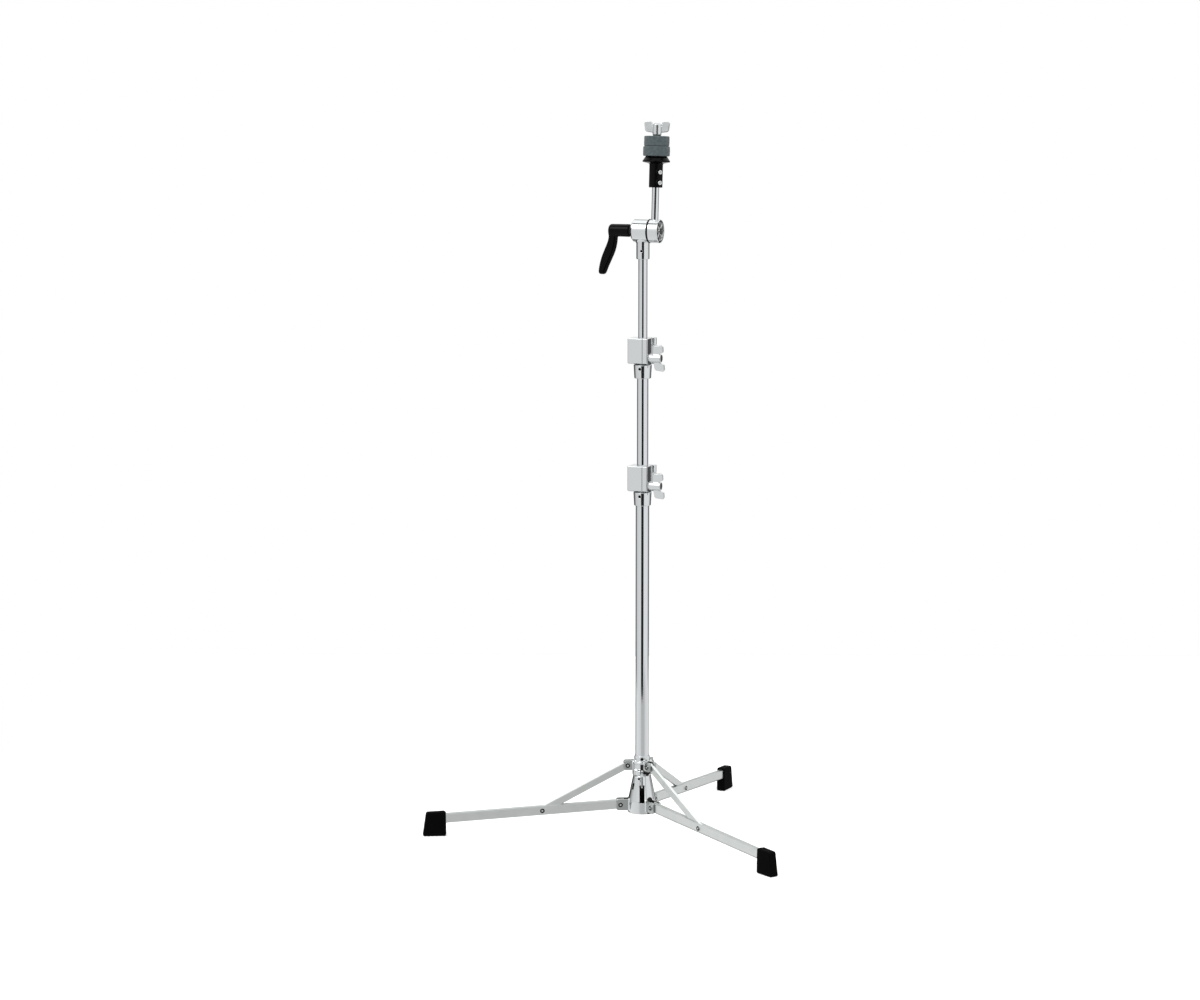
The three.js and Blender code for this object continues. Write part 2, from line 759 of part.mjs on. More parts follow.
function lockSet(where, tubeRadius, innerRadius) {
  const bolt = alongX(rod(lockBoltRadius, lockSplit - lockBoltDepth, lockRight + lockBoltReach, pinSides));
  bolt.translate(0, -lockBoltOffset, lockBoltRise);
  const pin = rod(lockHingePinRadius, edgeRound, lockHeight - edgeRound, pinSides);
  const nutBore = lockBoltRadius + lockBoltPlay;
  const nut = wingNut(
    lockNutHubRadius, lockNutFootRadius, lockNutLength, lockWingReach, nutBore, lockBoltReach + overrun,
  );
  const nutPiece = piece(`lock_wing_nut_${where}`, nut, chrome);
  const nutFrame = assembly(nutPiece);
  nutFrame.position.set(lockRight + seatGap, -lockBoltOffset, lockBoltRise);
  nutFrame.rotation.y = Math.PI / 2;
  nutPiece.rotation.z = radians(lockWingRoll);
  const frame = assembly(
    piece(`lock_jaw_${where}`, lockJaw(innerRadius), chrome),
    piece(`lock_gate_${where}`, lockGate(innerRadius), chrome),
    piece(`lock_hinge_pin_${where}`, pin.translate(lockHingeX, lockHingeY, 0), steel),
    piece(`lock_bolt_${where}`, bolt, steel),
    nutFrame,
  );
  frame.position.z = receiverHeight + bushFlange + 2 * seatGap;
  frame.rotation.z = radians(headTurn);
  const screw = radialScrew(
    receiverScrewRadius, tubeRadius + seatGap, receiverFootRadius, receiverScrewRise, receiverScrewTurn,
  );
  return assembly(
    piece(`receiver_${where}`, receiver(tubeRadius), chrome),
    piece(`receiver_screw_${where}`, screw, darkSteel),
    piece(`guide_bush_${where}`, guideBush(tubeRadius, innerRadius), nylon),
    frame,
  );
}

// The fixed half of the tilter with the socket for the upper tube
function tilterNeck() {
  const body = alongX(turned([
    [0, -neckLeft],
    [neckRadius - neckChamfer, -neckLeft],
    [neckRadius, neckChamfer - neckLeft],
    [neckRadius, neckRight],
    [0, neckRight],
  ], tubeSides));
  const socketFoot = -tilterRise - socketDepth;
  const socket = rod(socketRadius, socketFoot, 0, tubeSides);
  const tubeRoom = rod(upperTubeRadius + pressGap, socketFoot - overrun, seatGap - tilterRise, tubeSides);
  const reach = neckLeft + neckRight + overrun;
  const boltRoom = alongX(rod(holeRadius(tilterBoltRadius, runningGap, turnedSides), -reach, reach, turnedSides));
  const screwHole = radialScrew(
    socketScrewRadius + pressGap, 0, socketRadius + overrun, socketFoot + socketScrewRise, socketScrewTurn,
  );
  return cut(join(body, socket), tubeRoom, boltRoom, screwHole);
}

// The turning half of the tilter, recessed for the bolt's head and the end cap
function tilterDrum() {
  const capFoot = drumEnd - capThickness - faceGap;
  const headFoot = capFoot - boltHeadHeight - 2 * seatGap;
  const body = alongX(turned([
    [0, drumFoot],
    [drumRadius, drumFoot],
    [drumRadius, drumEnd - drumChamfer],
    [drumRadius - drumChamfer, drumEnd],
    [0, drumEnd],
  ], tubeSides));
  const boltRoom = alongX(rod(tilterBoltRadius + pressGap, drumFoot - overrun, drumEnd, turnedSides));
  const headRoom = alongX(rod(boltHeadRadius + seatGap, headFoot, drumEnd, turnedSides));
  const capRoom = alongX(rod(capRadius + pressGap, capFoot, drumEnd + overrun, tubeSides));
  const rodRoom = onRod(rod(rodRadius + pressGap, rodFoot - seatGap, drumRadius + overrun, turnedSides));
  return cut(body, boltRoom, headRoom, capRoom, rodRoom);
}

// A disc with pockets between its spokes
function endCap() {
  const end = drumEnd - seatGap;
  const foot = drumEnd - capThickness;
  const rim = capRadius - capRimWidth;
  const hub = capHubRadius + capSpokeWidth / 2;
  const pockets = Array.from({ length: capSpokes }, (_, index) => {
    const half = Math.PI / capSpokes;
    const inset = capSpokeWidth / 2 / rim;
    const hubInset = capSpokeWidth / 2 / hub;
    const shape = new THREE.Shape();
    shape.absarc(0, 0, rim, inset - half, half - inset, false);
    shape.absarc(0, 0, hub, half - hubInset, hubInset - half, true);
    const pocket = plate(shape, end - capPocket, end + overrun);
    return alongX(about(pocket, (360 * index) / capSpokes));
  });
  return cut(alongX(rod(capRadius, foot, end, tubeSides)), ...pockets);
}

function tilterBolt() {
  const headTop = drumEnd - capThickness - faceGap - seatGap;
  const shank = rod(tilterBoltRadius, -boltEnd, headTop - boltHeadHeight / 2, turnedSides);
  const head = rod(boltHeadRadius, headTop - boltHeadHeight, headTop, hexSides);
  return alongX(join(shank, head));
}

// The threaded insert under the lever, drawn with X along the tilter's axis
function leverInsert() {
  const foot = -neckLeft - faceGap;
  const body = alongX(turned([
    [0, foot],
    [insertFlangeRadius, foot],
    [insertFlangeRadius, foot - insertFlange],
    [insertRadius, foot - insertFlange],
    [insertRadius, -insertEnd],
    [0, -insertEnd],
  ], turnedSides));
  const thread = holeRadius(tilterBoltRadius, runningGap, turnedSides);
  const boltRoom = alongX(rod(thread, -boltEnd - seatGap, 0, turnedSides));
  const screwRoom = alongX(rod(leverScrewRadius + pressGap, -insertEnd - overrun, 0, pinSides));
  return cut(body, boltRoom, screwRoom);
}

const leverWebFace = insertEnd + seatGap;
const leverHeadFace = leverEnd - leverScrewHead - seatGap;

function leverHandle() {
  const hub = alongX(turned([
    [0, -leverFace],
    [leverHubRadius - edgeRound, -leverFace],
    [leverHubRadius, -leverFace - leverRound],
    [leverHubRadius, leverRound - leverEnd],
    [leverHubRadius - edgeRound, -leverEnd],
    [0, -leverEnd],
  ], turnedSides));
  const tipHalf = leverTipWidth / 2;
  const tipTop = tipHalf - leverDrop;
  const belly = tipTop / 2;
  const bellyX = (leverRootX + leverTipX) / 2 - leverRound;
  const arm = new THREE.Shape();
  arm.moveTo(-leverRootX - leverRootWidth / 2, 0);
  arm.quadraticCurveTo(-leverRootX - leverRootWidth / 2, belly / 2, -bellyX - leverBellyWidth / 2, belly);
  arm.lineTo(-leverTipX - tipHalf, tipTop);
  arm.absarc(-leverTipX, tipTop, tipHalf, Math.PI, 2 * Math.PI, false);
  arm.lineTo(-bellyX + leverBellyWidth / 2, belly);
  arm.quadraticCurveTo(-leverRootX + leverRootWidth / 2, belly / 2, -leverRootX + leverRootWidth / 2, 0);
  const bar = sidePlate(arm, leverThickness, leverRound);
  const insertRoom = alongX(rod(insertRadius + leverBoreGap, -leverWebFace, 0, turnedSides));
  const screwRoom = alongX(rod(leverScrewRadius + leverBoreGap, -leverEnd, 0, pinSides));
  const headFoot = -leverWebFace - leverWeb;
  const headRoom = alongX(rod(leverScrewHeadRadius + leverBoreGap, -leverEnd - overrun, headFoot, pinSides));
  return cut(join(hub, bar), insertRoom, screwRoom, headRoom);
}

function leverScrew() {
  const reach = boltEnd + 2 * seatGap + overrun;
  return alongX(turned([
    [0, -reach],
    [leverScrewRadius, -reach],
    [leverScrewRadius, -leverHeadFace],
    [leverScrewHeadRadius, -leverHeadFace],
    [leverScrewHeadRadius, -leverHeadFace - leverScrewHead],
    [0, -leverHeadFace - leverScrewHead],
  ], pinSides));
}

function leverSpring() {
  const inner = leverScrewRadius + leverBoreGap;
  const end = seatGap - leverHeadFace;
  return alongX(tube(leverScrewHeadRadius, inner, end, end + leverSpringLength, pinSides));
}

// Places a piece drawn along Z on the leaning rod
function onRod(geometry) {
  return geometry.rotateX(-radians(rodLean)).translate(rodOffset, 0, 0);
}

const seatConeFoot = seatFoot + seatFlangeRise;
const seatTop = seatConeFoot + seatConeRise;
const lowerFeltFoot = seatTop + feltGap;
const upperFeltFoot = lowerFeltFoot + lowerFeltHeight + feltGap;
const topNutFoot = upperFeltFoot + upperFeltHeight + feltGap;

function cymbalSeat() {
  const wide = holeRadius(rodRadius, pressGap, turnedSides);
  const narrow = holeRadius(threadRadius, pressGap, turnedSides);
  const neckTop = seatTop + seatNeckHeight;
  const body = ring([
    [wide, seatFoot],
    [seatSleeveRadius, seatFoot],
    [seatSleeveRadius, seatConeFoot - edgeRound],
    [seatFlangeRadius, seatConeFoot + seatRim],
    [seatFlangeRadius, seatConeFoot + 2 * seatRim],
    [seatTopRadius, seatTop],
    [seatNeckRadius, seatTop],
    [seatNeckRadius, neckTop],
    [narrow, neckTop],
    [narrow, rodShoulder + seatGap],
    [wide, rodShoulder + seatGap],
  ], turnedSides);
  const bosses = Object.values(seatScrewRises).map((rise) => (
    radialScrew(seatBossRadius, rodRadius + edgeRound, seatBossReach, seatFoot + rise, seatScrewTurn)
  ));
  const holes = Object.values(seatScrewRises).map((rise) => (
    radialScrew(seatScrewRadius + pressGap, 0, seatBossReach + overrun, seatFoot + rise, seatScrewTurn)
  ));
  return cut(join(body, ...bosses), ...holes);
}

function seatScrew(rise) {
  const foot = rodRadius + seatGap;
  const face = seatBossReach + pressGap;
  const screw = turned([
    [0, foot],
    [seatScrewRadius, foot],
    [seatScrewRadius, face],
    [seatScrewHeadRadius, face],
    [seatScrewHeadRadius, face + seatScrewHead],
    [0, face + seatScrewHead],
  ], pinSides);
  return about(alongX(screw).translate(0, 0, seatFoot + rise), seatScrewTurn);
}

function feltDisc(radius, foot, height) {
  const inner = seatNeckRadius + feltGap;
  const top = foot + height;
  return ring([
    [inner, foot],
    [radius - feltRound, foot],
    [radius, foot + feltRound],
    [radius, top - feltRound],
    [radius - feltRound, top],
    [inner, top],
  ], turnedSides);
}

function rodWithThread() {
  const end = topNutFoot + topNutLength + threadEnd;
  return turned([
    [0, rodFoot],
    [rodRadius, rodFoot],
    [rodRadius, rodShoulder],
    [threadRadius, rodShoulder + seatGap],
    [threadRadius, end],
    [0, end],
  ], turnedSides);
}

function head() {
  const nutBore = holeRadius(threadRadius, runningGap, turnedSides);
  const topNut = wingNut(
    topNutHubRadius, topNutFootRadius, topNutLength, topWingReach, nutBore, topNutLength + wingRise + overrun,
  );
  const topNutPiece = piece('top_wing_nut', topNut, chrome);
  topNutPiece.position.z = topNutFoot;
  topNutPiece.rotation.z = radians(topWingRoll);
  const rodFrame = assembly(
    piece('tilter_rod', rodWithThread(), chrome),
    piece('cymbal_seat', cymbalSeat(), blackPlastic),
    piece('seat_screw_lower', seatScrew(seatScrewRises.lower), chrome),
    piece('seat_screw_upper', seatScrew(seatScrewRises.upper), chrome),
    piece('felt_lower', feltDisc(lowerFeltRadius, lowerFeltFoot, lowerFeltHeight), felt),
    piece('felt_upper', feltDisc(upperFeltRadius, upperFeltFoot, upperFeltHeight), felt),
    topNutPiece,
  );
  rodFrame.position.x = rodOffset;
  rodFrame.rotation.x = -radians(rodLean);
  const gasketFoot = neckRight + faceGap;
  const gasketBore = holeRadius(tilterBoltRadius, runningGap, turnedSides);
  const gasket = alongX(tube(gasketRadius, gasketBore, gasketFoot, gasketFoot + gasketThickness, tubeSides));
  const socketScrew = radialScrew(
    socketScrewRadius, upperTubeRadius + seatGap, socketRadius,
    socketScrewRise - tilterRise - socketDepth, socketScrewTurn,
  );
  const frame = assembly(
    piece('tilter_neck', tilterNeck(), chrome),
    piece('tilter_neck_screw', socketScrew, darkSteel),
    piece('tilter_gasket', gasket, rubber),
    piece('tilter_drum', tilterDrum(), chrome),
    piece('tilter_cap', endCap(), darkSteel),
    piece('tilter_bolt', tilterBolt(), steel),
    piece('lever_insert', leverInsert(), darkSteel),
    piece('lever_handle', leverHandle(), blackPlastic),
    piece('lever_screw', leverScrew(), darkSteel),
    piece('lever_spring', leverSpring(), steel),
    rodFrame,
  );
  frame.position.z = tilterHeight;
  frame.rotation.z = radians(headTurn);
  return frame;
}

const lowerLock = lockSet('lower', baseTubeRadius, middleTubeRadius);
lowerLock.position.z = baseTubeTop - receiverOverlap;
const upperLock = lockSet('upper', middleTubeRadius, upperTubeRadius);
upperLock.position.z = middleTubeTop - receiverOverlap;

const middleTube = tube(
  middleTubeRadius, middleTubeRadius - tubeWall, middleTubeTop - middleTubeLength, middleTubeTop, tubeSides,
);
const upperTube = tube(
  upperTubeRadius, upperTubeRadius - tubeWall, upperTubeTop - upperTubeLength, upperTubeTop, tubeSides,
);

const stand = assembly(
  base(),
  lowerLock,
  piece('middle_tube', middleTube, chrome),
  upperLock,
  piece('upper_tube', upperTube, chrome),
  head(),
);
stand.position.x = poleX;

export default assembly(stand);
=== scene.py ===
"""Straight cymbal stand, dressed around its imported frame.

Shapes are worked out in millimetres, each in the frame of the thing that carries it, and become metres when
they are put into a mesh. Turned, bent and drawn pieces are rings of points with quads between them. Castings
and mouldings, whose ears and bosses run into each other with fillets, are skins over a distance field.
"""

import itertools
import json
from collections import namedtuple
from functools import partial

import bpy
import numpy as np
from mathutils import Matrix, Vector


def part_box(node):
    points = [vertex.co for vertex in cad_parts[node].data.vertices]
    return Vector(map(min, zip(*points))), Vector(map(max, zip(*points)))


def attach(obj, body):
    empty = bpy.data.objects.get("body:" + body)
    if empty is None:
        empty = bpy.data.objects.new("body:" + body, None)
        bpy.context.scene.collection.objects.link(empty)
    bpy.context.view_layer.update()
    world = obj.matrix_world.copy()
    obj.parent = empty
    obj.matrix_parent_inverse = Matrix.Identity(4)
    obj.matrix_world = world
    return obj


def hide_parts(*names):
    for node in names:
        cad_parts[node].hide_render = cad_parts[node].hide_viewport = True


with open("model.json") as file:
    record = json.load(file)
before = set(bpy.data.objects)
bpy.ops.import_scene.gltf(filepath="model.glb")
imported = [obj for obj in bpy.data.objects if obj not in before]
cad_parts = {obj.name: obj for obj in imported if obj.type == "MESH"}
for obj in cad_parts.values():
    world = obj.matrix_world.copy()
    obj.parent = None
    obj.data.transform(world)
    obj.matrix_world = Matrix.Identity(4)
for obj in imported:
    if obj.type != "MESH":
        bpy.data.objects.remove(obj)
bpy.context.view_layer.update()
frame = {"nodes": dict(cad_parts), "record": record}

Shape = namedtuple("Shape", "points quads caps uv normals")
Place = namedtuple("Place", "origin axes")
WHITE = (1.0, 1.0, 1.0, 1.0)
UP = np.array([0.0, 0.0, 1.0])
EAST = np.array([1.0, 0.0, 0.0])

# Sizes of the frame, in millimetres
LEG_TURNS = {"left": 180, "front": -60, "rear": 60}
HEAD_TURN, SLOT_TURN, WINDOW_TURN, HUB_PAD_TURN = -25, -95, -150, -122
# The hub's slot and window: angle, half width, lowest and highest level, corner and rim
HUB_OPENINGS = ((SLOT_TURN, 3.3, 45.8, 70.0, 1.6, 0.7), (WINDOW_TURN, 1.7, 63.2, 72.2, 1.2, 0.6))
HUB_FOOT, HUB_TOP = 29.2, 83.3
HUB_SKIRT_RADIUS, HUB_TOP_RADIUS, HUB_SKIRT_TOP = 20, 12.4, 46.2
COLLAR_FOOT = 83.6
LEG_PIVOT_RADIUS, LEG_PIVOT_HEIGHT, LEG_SLOPE = 31, 41, 3.7
LEG_HEEL, LEG_LENGTH, LEG_WIDTH, LEG_DEPTH, LEG_WALL = 6, 272.6, 8.3, 13.2, 1.3
BRACE_FOOT_ON_LEG, BRACE_LENGTH, BRACE_END = 110.8, 136.604, 5
FOOT_REACH, FOOT_FIT = 310.54, 0.3
COLLAR_PIN_RADIUS, COLLAR_PIN_HEIGHT = 20.7, 97.5
TUBES = {
    "base_tube": (9.525, 34.5, 477.5),
    "middle_tube": (7.94, 256.2, 656.2),
    "upper_tube": (6.35, 429.3, 829.3),
}
TUBE_WALL, TUBE_FIT = 1.2, 0.05
TUBE_FOOT_TOP = 76
RECEIVERS = {"lower": (467.9, 9.525, 7.94), "upper": (646.6, 7.94, 6.35)}
LOCK_RISE, LOCK_HEIGHT, LOCK_SPLIT, LOCK_GAP, LOCK_FIT = 19.5, 37, 5, 0.125, 0.07
BOLT_FRONT, BOLT_RISE = -11.2, 10.4
HINGE_X, HINGE_Y, HINGE_RADIUS = 12.2, 11.4, 4.1
TILTER_HEIGHT = 851.3
ROD_OFFSET, ROD_LEAN = 16.9, 4
# The set screws, each by its angle about the axis, its height on its own piece and its radius
HUB_SCREW, COLLAR_SCREW = (-112, 79.1, 1.7), (SLOT_TURN, 23.2, 1.9)
RECEIVER_SCREW, NECK_SCREW = (-115, 13.6, 1.9), (-84, -27.5, 1.6)
SEAT_SCREW_TURN, SEAT_SCREW_RISES, SEAT_SCREW_RADIUS = -43, {"lower": 66.5, "upper": 81}, 1.9
SCREW_FIT = 0.05


def unit(vector):
    """The vector divided by its length."""
    vector = np.asarray(vector, float)
    return vector / np.linalg.norm(vector)


def toward(degrees):
    """The level direction at this angle about the pole."""
    return np.array([np.cos(np.radians(degrees)), np.sin(np.radians(degrees)), 0.0])


def within(outer, origin, x, z):
    """A place given in another one: its origin, X and Z, with Y = Z x X."""
    own = np.array([unit(x), unit(np.cross(z, x)), unit(z)])
    return Place(outer.origin + np.asarray(origin, float) @ outer.axes, own @ outer.axes)


def middle_of(node):
    """The centre of a node's box, half the sum of its corners, in millimetres."""
    low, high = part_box(node)
    return 500 * (np.array(low) + np.array(high))


WORLD = Place(np.zeros(3), np.eye(3))
POLE = within(WORLD, (middle_of("base_tube")[0], 0, 0), EAST, UP)
HEAD = within(POLE, (0, 0, TILTER_HEIGHT), toward(HEAD_TURN), UP)
HEAD_AXIS = within(HEAD, (0, 0, 0), UP, EAST)
LEAN = np.radians(ROD_LEAN)
ROD = within(HEAD, (ROD_OFFSET, 0, 0), EAST, (0, np.sin(LEAN), np.cos(LEAN)))
TOP_NUT = within(ROD, (0, 0, 130.9), toward(8), UP)
LOCKS = {
    where: within(POLE, (0, 0, foot + LOCK_RISE), toward(HEAD_TURN), UP)
    for where, (foot, _, _) in RECEIVERS.items()
}
LOCK_NUT_FOOT = (12.7, BOLT_FRONT, BOLT_RISE)
LOCK_NUT_WING = (0, np.sin(np.radians(12)), -np.cos(np.radians(12)))


def leg_place(side):
    """From the rivet in the hub, with X down the leg, which falls by its slope."""
    out, c, s = toward(LEG_TURNS[side]), np.cos(np.radians(LEG_SLOPE)), np.sin(np.radians(LEG_SLOPE))
    return within(POLE, LEG_PIVOT_RADIUS * out + LEG_PIVOT_HEIGHT * UP, c * out - s * UP, s * out + c * UP)


LEGS = {side: leg_place(side) for side in LEG_TURNS}


def brace_place(side):
    """From the rivet in the leg, with X along the brace to the rivet in the collar."""
    foot = LEGS[side].origin + BRACE_FOOT_ON_LEG * LEGS[side].axes[0]
    head = POLE.origin + COLLAR_PIN_RADIUS * toward(LEG_TURNS[side]) + COLLAR_PIN_HEIGHT * UP
    along = unit(head - foot)
    return within(WORLD, foot, along, np.cross(along, LEGS[side].axes[1]))


def radial(outer, height, turn):
    """A place whose Z runs out of an upright axis at this height and angle."""
    return within(outer, (0, 0, height), UP, toward(turn))


def filleted(corners, closed=False, steps=6):
    """The outline with each corner (x, y, r) that has a radius turned into an arc: it starts and ends at
    r / tan(half the angle) from the corner, and its centre is r / sin(half the angle) along the bisector."""
    line = []
    count = len(corners)
    for index, corner in enumerate(corners):
        here, radius = np.array(corner[:2], float), corner[2] if len(corner) > 2 else 0
        if radius == 0 or (not closed and index in (0, count - 1)):
            line.append(here)
            continue
        before, after = (np.array(corners[k % count][:2], float) - here for k in (index - 1, index + 1))
        room = 0.49 * min(np.linalg.norm(before), np.linalg.norm(after))
        before, after = unit(before), unit(after)
        half = np.arccos(np.clip(before @ after, -1, 1)) / 2
        cut = min(radius / np.tan(half), room)
        radius = cut * np.tan(half)
        centre = here + unit(before + after) * radius / np.sin(half)
        first, last = (np.arctan2(*(here + cut * side - centre)[::-1]) for side in (before, after))
        sweep = (last - first + np.pi) % (2 * np.pi) - np.pi
        arc = first + sweep * np.linspace(0, 1, steps + 1)
        line.extend(centre + radius * np.stack([np.cos(arc), np.sin(arc)], 1))
    return np.array(line)


def smooth_loop(corners, steps):
    """A closed Catmull-Rom curve through the corners."""
    p = np.array(corners, float)
    t = np.linspace(0, 1, steps, endpoint=False)[:, None]
    spans = []
    for k in range(len(p)):
        a, b, c, d = (p[(k + shift) % len(p)] for shift in (-1, 0, 1, 2))
        bend, twist = 2 * a - 5 * b + 4 * c - d, 3 * b - a - 3 * c + d
        spans.append(0.5 * (2 * b + (c - a) * t + bend * t**2 + twist * t**3))
    return np.concatenate(spans)


def angles(sides):
    """Equal steps round a full turn."""
    return np.linspace(0, 2 * np.pi, sides, endpoint=False)


def rings_at(radius, height):
    """Points (r cos a, r sin a, h) over equal angles a, as many as the last axis has."""
    radius, height = np.broadcast_arrays(radius, height)
    a = angles(radius.shape[-1])
    return np.stack([radius * np.cos(a), radius * np.sin(a), height], -1)


def turned_rings(profile, sides):
    """A ring for each profile point (radius, height)."""
    return rings_at(np.outer(np.maximum(profile[:, 0], 0.02), np.ones(sides)), profile[:, 1:])


def lean_to_faces(points, quads, caps):
    """Normals at the points: the sum of the area vectors of the faces around each, so flats stay flat."""
    a, b, c, d = (points[quads[:, k]] for k in range(4))
    push = np.cross(c - a, d - b)
    total = np.zeros_like(points)
    for k, axis in itertools.product(range(4), range(3)):
        total[:, axis] += np.bincount(quads[:, k], push[:, axis], len(points))
    for cap in caps:
        rim = points[cap] - points[cap].mean(0)
        total[cap] += np.cross(rim, np.roll(rim, -1, 0)).sum(0)
    return total / np.maximum(np.linalg.norm(total, axis=1, keepdims=True), 1e-12)


def lofted(rings, wrap=False):
    """A closed skin over m rings of n points: quads between neighbouring rings, and one flat face on each
    end, or with wrap the last ring joins the first. The UV is (length around, length along) in metres."""
    m, n, _ = rings.shape
    points = rings.reshape(-1, 3)
    j, i = (k.ravel() for k in np.meshgrid(np.arange(m if wrap else m - 1), np.arange(n), indexing="ij"))
    corner_j, corner_i = np.stack([j, j, j + 1, j + 1], 1), np.stack([i, i + 1, i + 1, i], 1)
    quads = (corner_j % m) * n + corner_i % n
    around = np.linalg.norm(np.roll(rings, -1, 1) - rings, axis=-1).max(0)
    along = np.linalg.norm(np.roll(rings, -1, 0) - rings, axis=-1).mean(1)
    around, along = (0.001 * np.concatenate([[0], np.cumsum(k)]) for k in (around, along))
    uv = np.stack([around[corner_i], along[corner_j]], -1).reshape(-1, 2)
    caps = [] if wrap else [np.arange(n)[::-1], np.arange((m - 1) * n, m * n)]
    a, b, c, d = (points[quads[:, k]] for k in range(4))
    if (np.cross(b, c) * a).sum() + (np.cross(c, d) * a).sum() < 0:
        quads, uv = quads[:, ::-1], uv.reshape(-1, 4, 2)[:, ::-1].reshape(-1, 2)
        caps = [cap[::-1] for cap in caps]
    for cap in caps:
        uv = np.concatenate([uv, 0.001 * points[cap][:, :2]])
    return Shape(points, quads, caps, uv, lean_to_faces(points, quads, caps))


def together(*shapes):
    """Several shapes as one; a shape without a UV gets zeros."""
    starts = np.cumsum([0] + [len(shape.points) for shape in shapes])
    quads = np.concatenate([shape.quads + start for shape, start in zip(shapes, starts)])
    caps = [cap + start for shape, start in zip(shapes, starts) for cap in shape.caps]
    counts = [4 * len(shape.quads) for shape in shapes]
    maps = [np.zeros((n, 2)) if shape.uv is None else shape.uv for shape, n in zip(shapes, counts)]
    uv = [part[:n] for part, n in zip(maps, counts)] + [part[n:] for part, n in zip(maps, counts)]
    points = np.concatenate([shape.points for shape in shapes])
    return Shape(points, quads, caps, np.concatenate(uv), np.concatenate([shape.normals for shape in shapes]))


def turned(corners, sides=96, wrap=False, steps=6):
    """The profile of (radius, height, fillet) corners turned about Z."""
    return lofted(turned_rings(filleted(corners, closed=wrap, steps=steps), sides), wrap)


def right_of(run):
    """Unit normals to the right of the steps of a flat curve."""
    return np.stack([run[:, 1], -run[:, 0]], 1) / np.linalg.norm(run, axis=1, keepdims=True)


def rounded_bar(loop, half, edge):
    """A flat bar in the XZ plane: the loop swept from -half to half along Y, and pulled in at both edges by a
    quarter circle, offset = edge (1 - cos a) at depth edge (1 - sin a)."""
    out = right_of(np.roll(loop, -1, 0) - np.roll(loop, 1, 0))
    a = np.linspace(0, np.pi / 2, 5)
    inset = edge * np.concatenate([1 - np.sin(a), (1 - np.sin(a))[::-1]])
    depth = np.concatenate([-half + edge * (1 - np.cos(a)), half - edge * (1 - np.cos(a))[::-1]])
    flat = loop[None] - inset[:, None, None] * out[None]
    return lofted(np.stack([flat[..., 0], np.broadcast_to(depth[:, None], flat.shape[:2]), flat[..., 1]], -1))


# The fields below are distances in millimetres, negative inside
def meet(a, b, rounding):
    """Inside both; the edge is an arc: min(max(a, b), -r) + the length of the parts of a and b above -r."""
    over_a, over_b = np.maximum(a + rounding, 0), np.maximum(b + rounding, 0)
    return np.minimum(np.maximum(a, b), -rounding) + np.hypot(over_a, over_b)


def join(a, b, fillet):
    """Inside either; the corner between them is filled by an arc: the mirror image of meet."""
    return -meet(-a, -b, fillet)


def carve(a, b, rounding):
    """Inside a and outside b, with a rounded rim."""
    return meet(a, -b, rounding)


def span(x, low, high):
    """Inside between two levels."""
    return np.abs(x - (low + high) / 2) - (high - low) / 2


def about_pole(x, y, turn):
    """Coordinates along and across a direction about the upright axis."""
    c, s = np.cos(np.radians(turn)), np.sin(np.radians(turn))
    return c * x + s * y, c * y - s * x


def along_legs(x, y):
    """Coordinates along and across the direction of each leg."""
    return [about_pole(x, y, turn) for turn in LEG_TURNS.values()]


def drilled(body, x, y, z, screw, depth, rounding):
    """The body less a set screw's hole, from the face in to this distance from the axis."""
    turn, height, radius = screw
    u, v = about_pole(x, y, turn)
    return carve(body, np.maximum(np.hypot(v, z - height) - radius - SCREW_FIT, depth - u), rounding)


def outline_distance(u, v, corners):
    """Signed distance to a closed outline: the least distance to its edges, negative where a line along u
    meets them an odd number of times."""
    nearest, inside = np.full(u.shape, np.inf), np.zeros(u.shape, bool)
    for (au, av), (bu, bv) in zip(corners, np.roll(corners, -1, 0)):
        eu, ev = bu - au, bv - av
        if eu * eu + ev * ev < 1e-12:
            continue
        t = np.clip(((u - au) * eu + (v - av) * ev) / (eu * eu + ev * ev), 0, 1)
        nearest = np.minimum(nearest, (u - au - t * eu) ** 2 + (v - av - t * ev) ** 2)
        if ev:
            inside ^= ((av > v) != (bv > v)) & (u < eu / ev * (v - av) + au)
    return np.where(inside, -1, 1) * np.sqrt(nearest)


def rounded_outline(u, v, corners, steps=6):
    """Signed distance to the closed outline through (u, v, fillet) corners. Outlines of turned bodies, with
    u the radius, run on past the axis to -5, so that the axis lies inside."""
    return outline_distance(u, v, filleted(corners, True, steps))


def slope_of(field, points, reach):
    """The field's gradient by central differences."""
    steps = reach * np.eye(3)
    return np.stack([field(*(points + s).T) - field(*(points - s).T) for s in steps], 1) / (2 * reach)


def field_on_lattice(field, low, counts, step):
    """The field on a lattice. It is worked out on blocks of 4 x 4 x 4 first, and on single points only in
    the blocks that the surface may cross, since a distance changes by at most the way gone."""
    block = 4
    centres = [low[k] + step * (block * np.arange(counts[k]) + (block - 1) / 2) for k in range(3)]
    coarse = field(*np.meshgrid(*centres, indexing="ij"))
    near = np.abs(coarse) < 4.4 * step
    for axis in range(3):
        coarse, near = np.repeat(coarse, block, axis), np.repeat(near, block, axis)
    index = np.argwhere(near)
    coarse[near] = field(*(low + step * index).T)
    return coarse


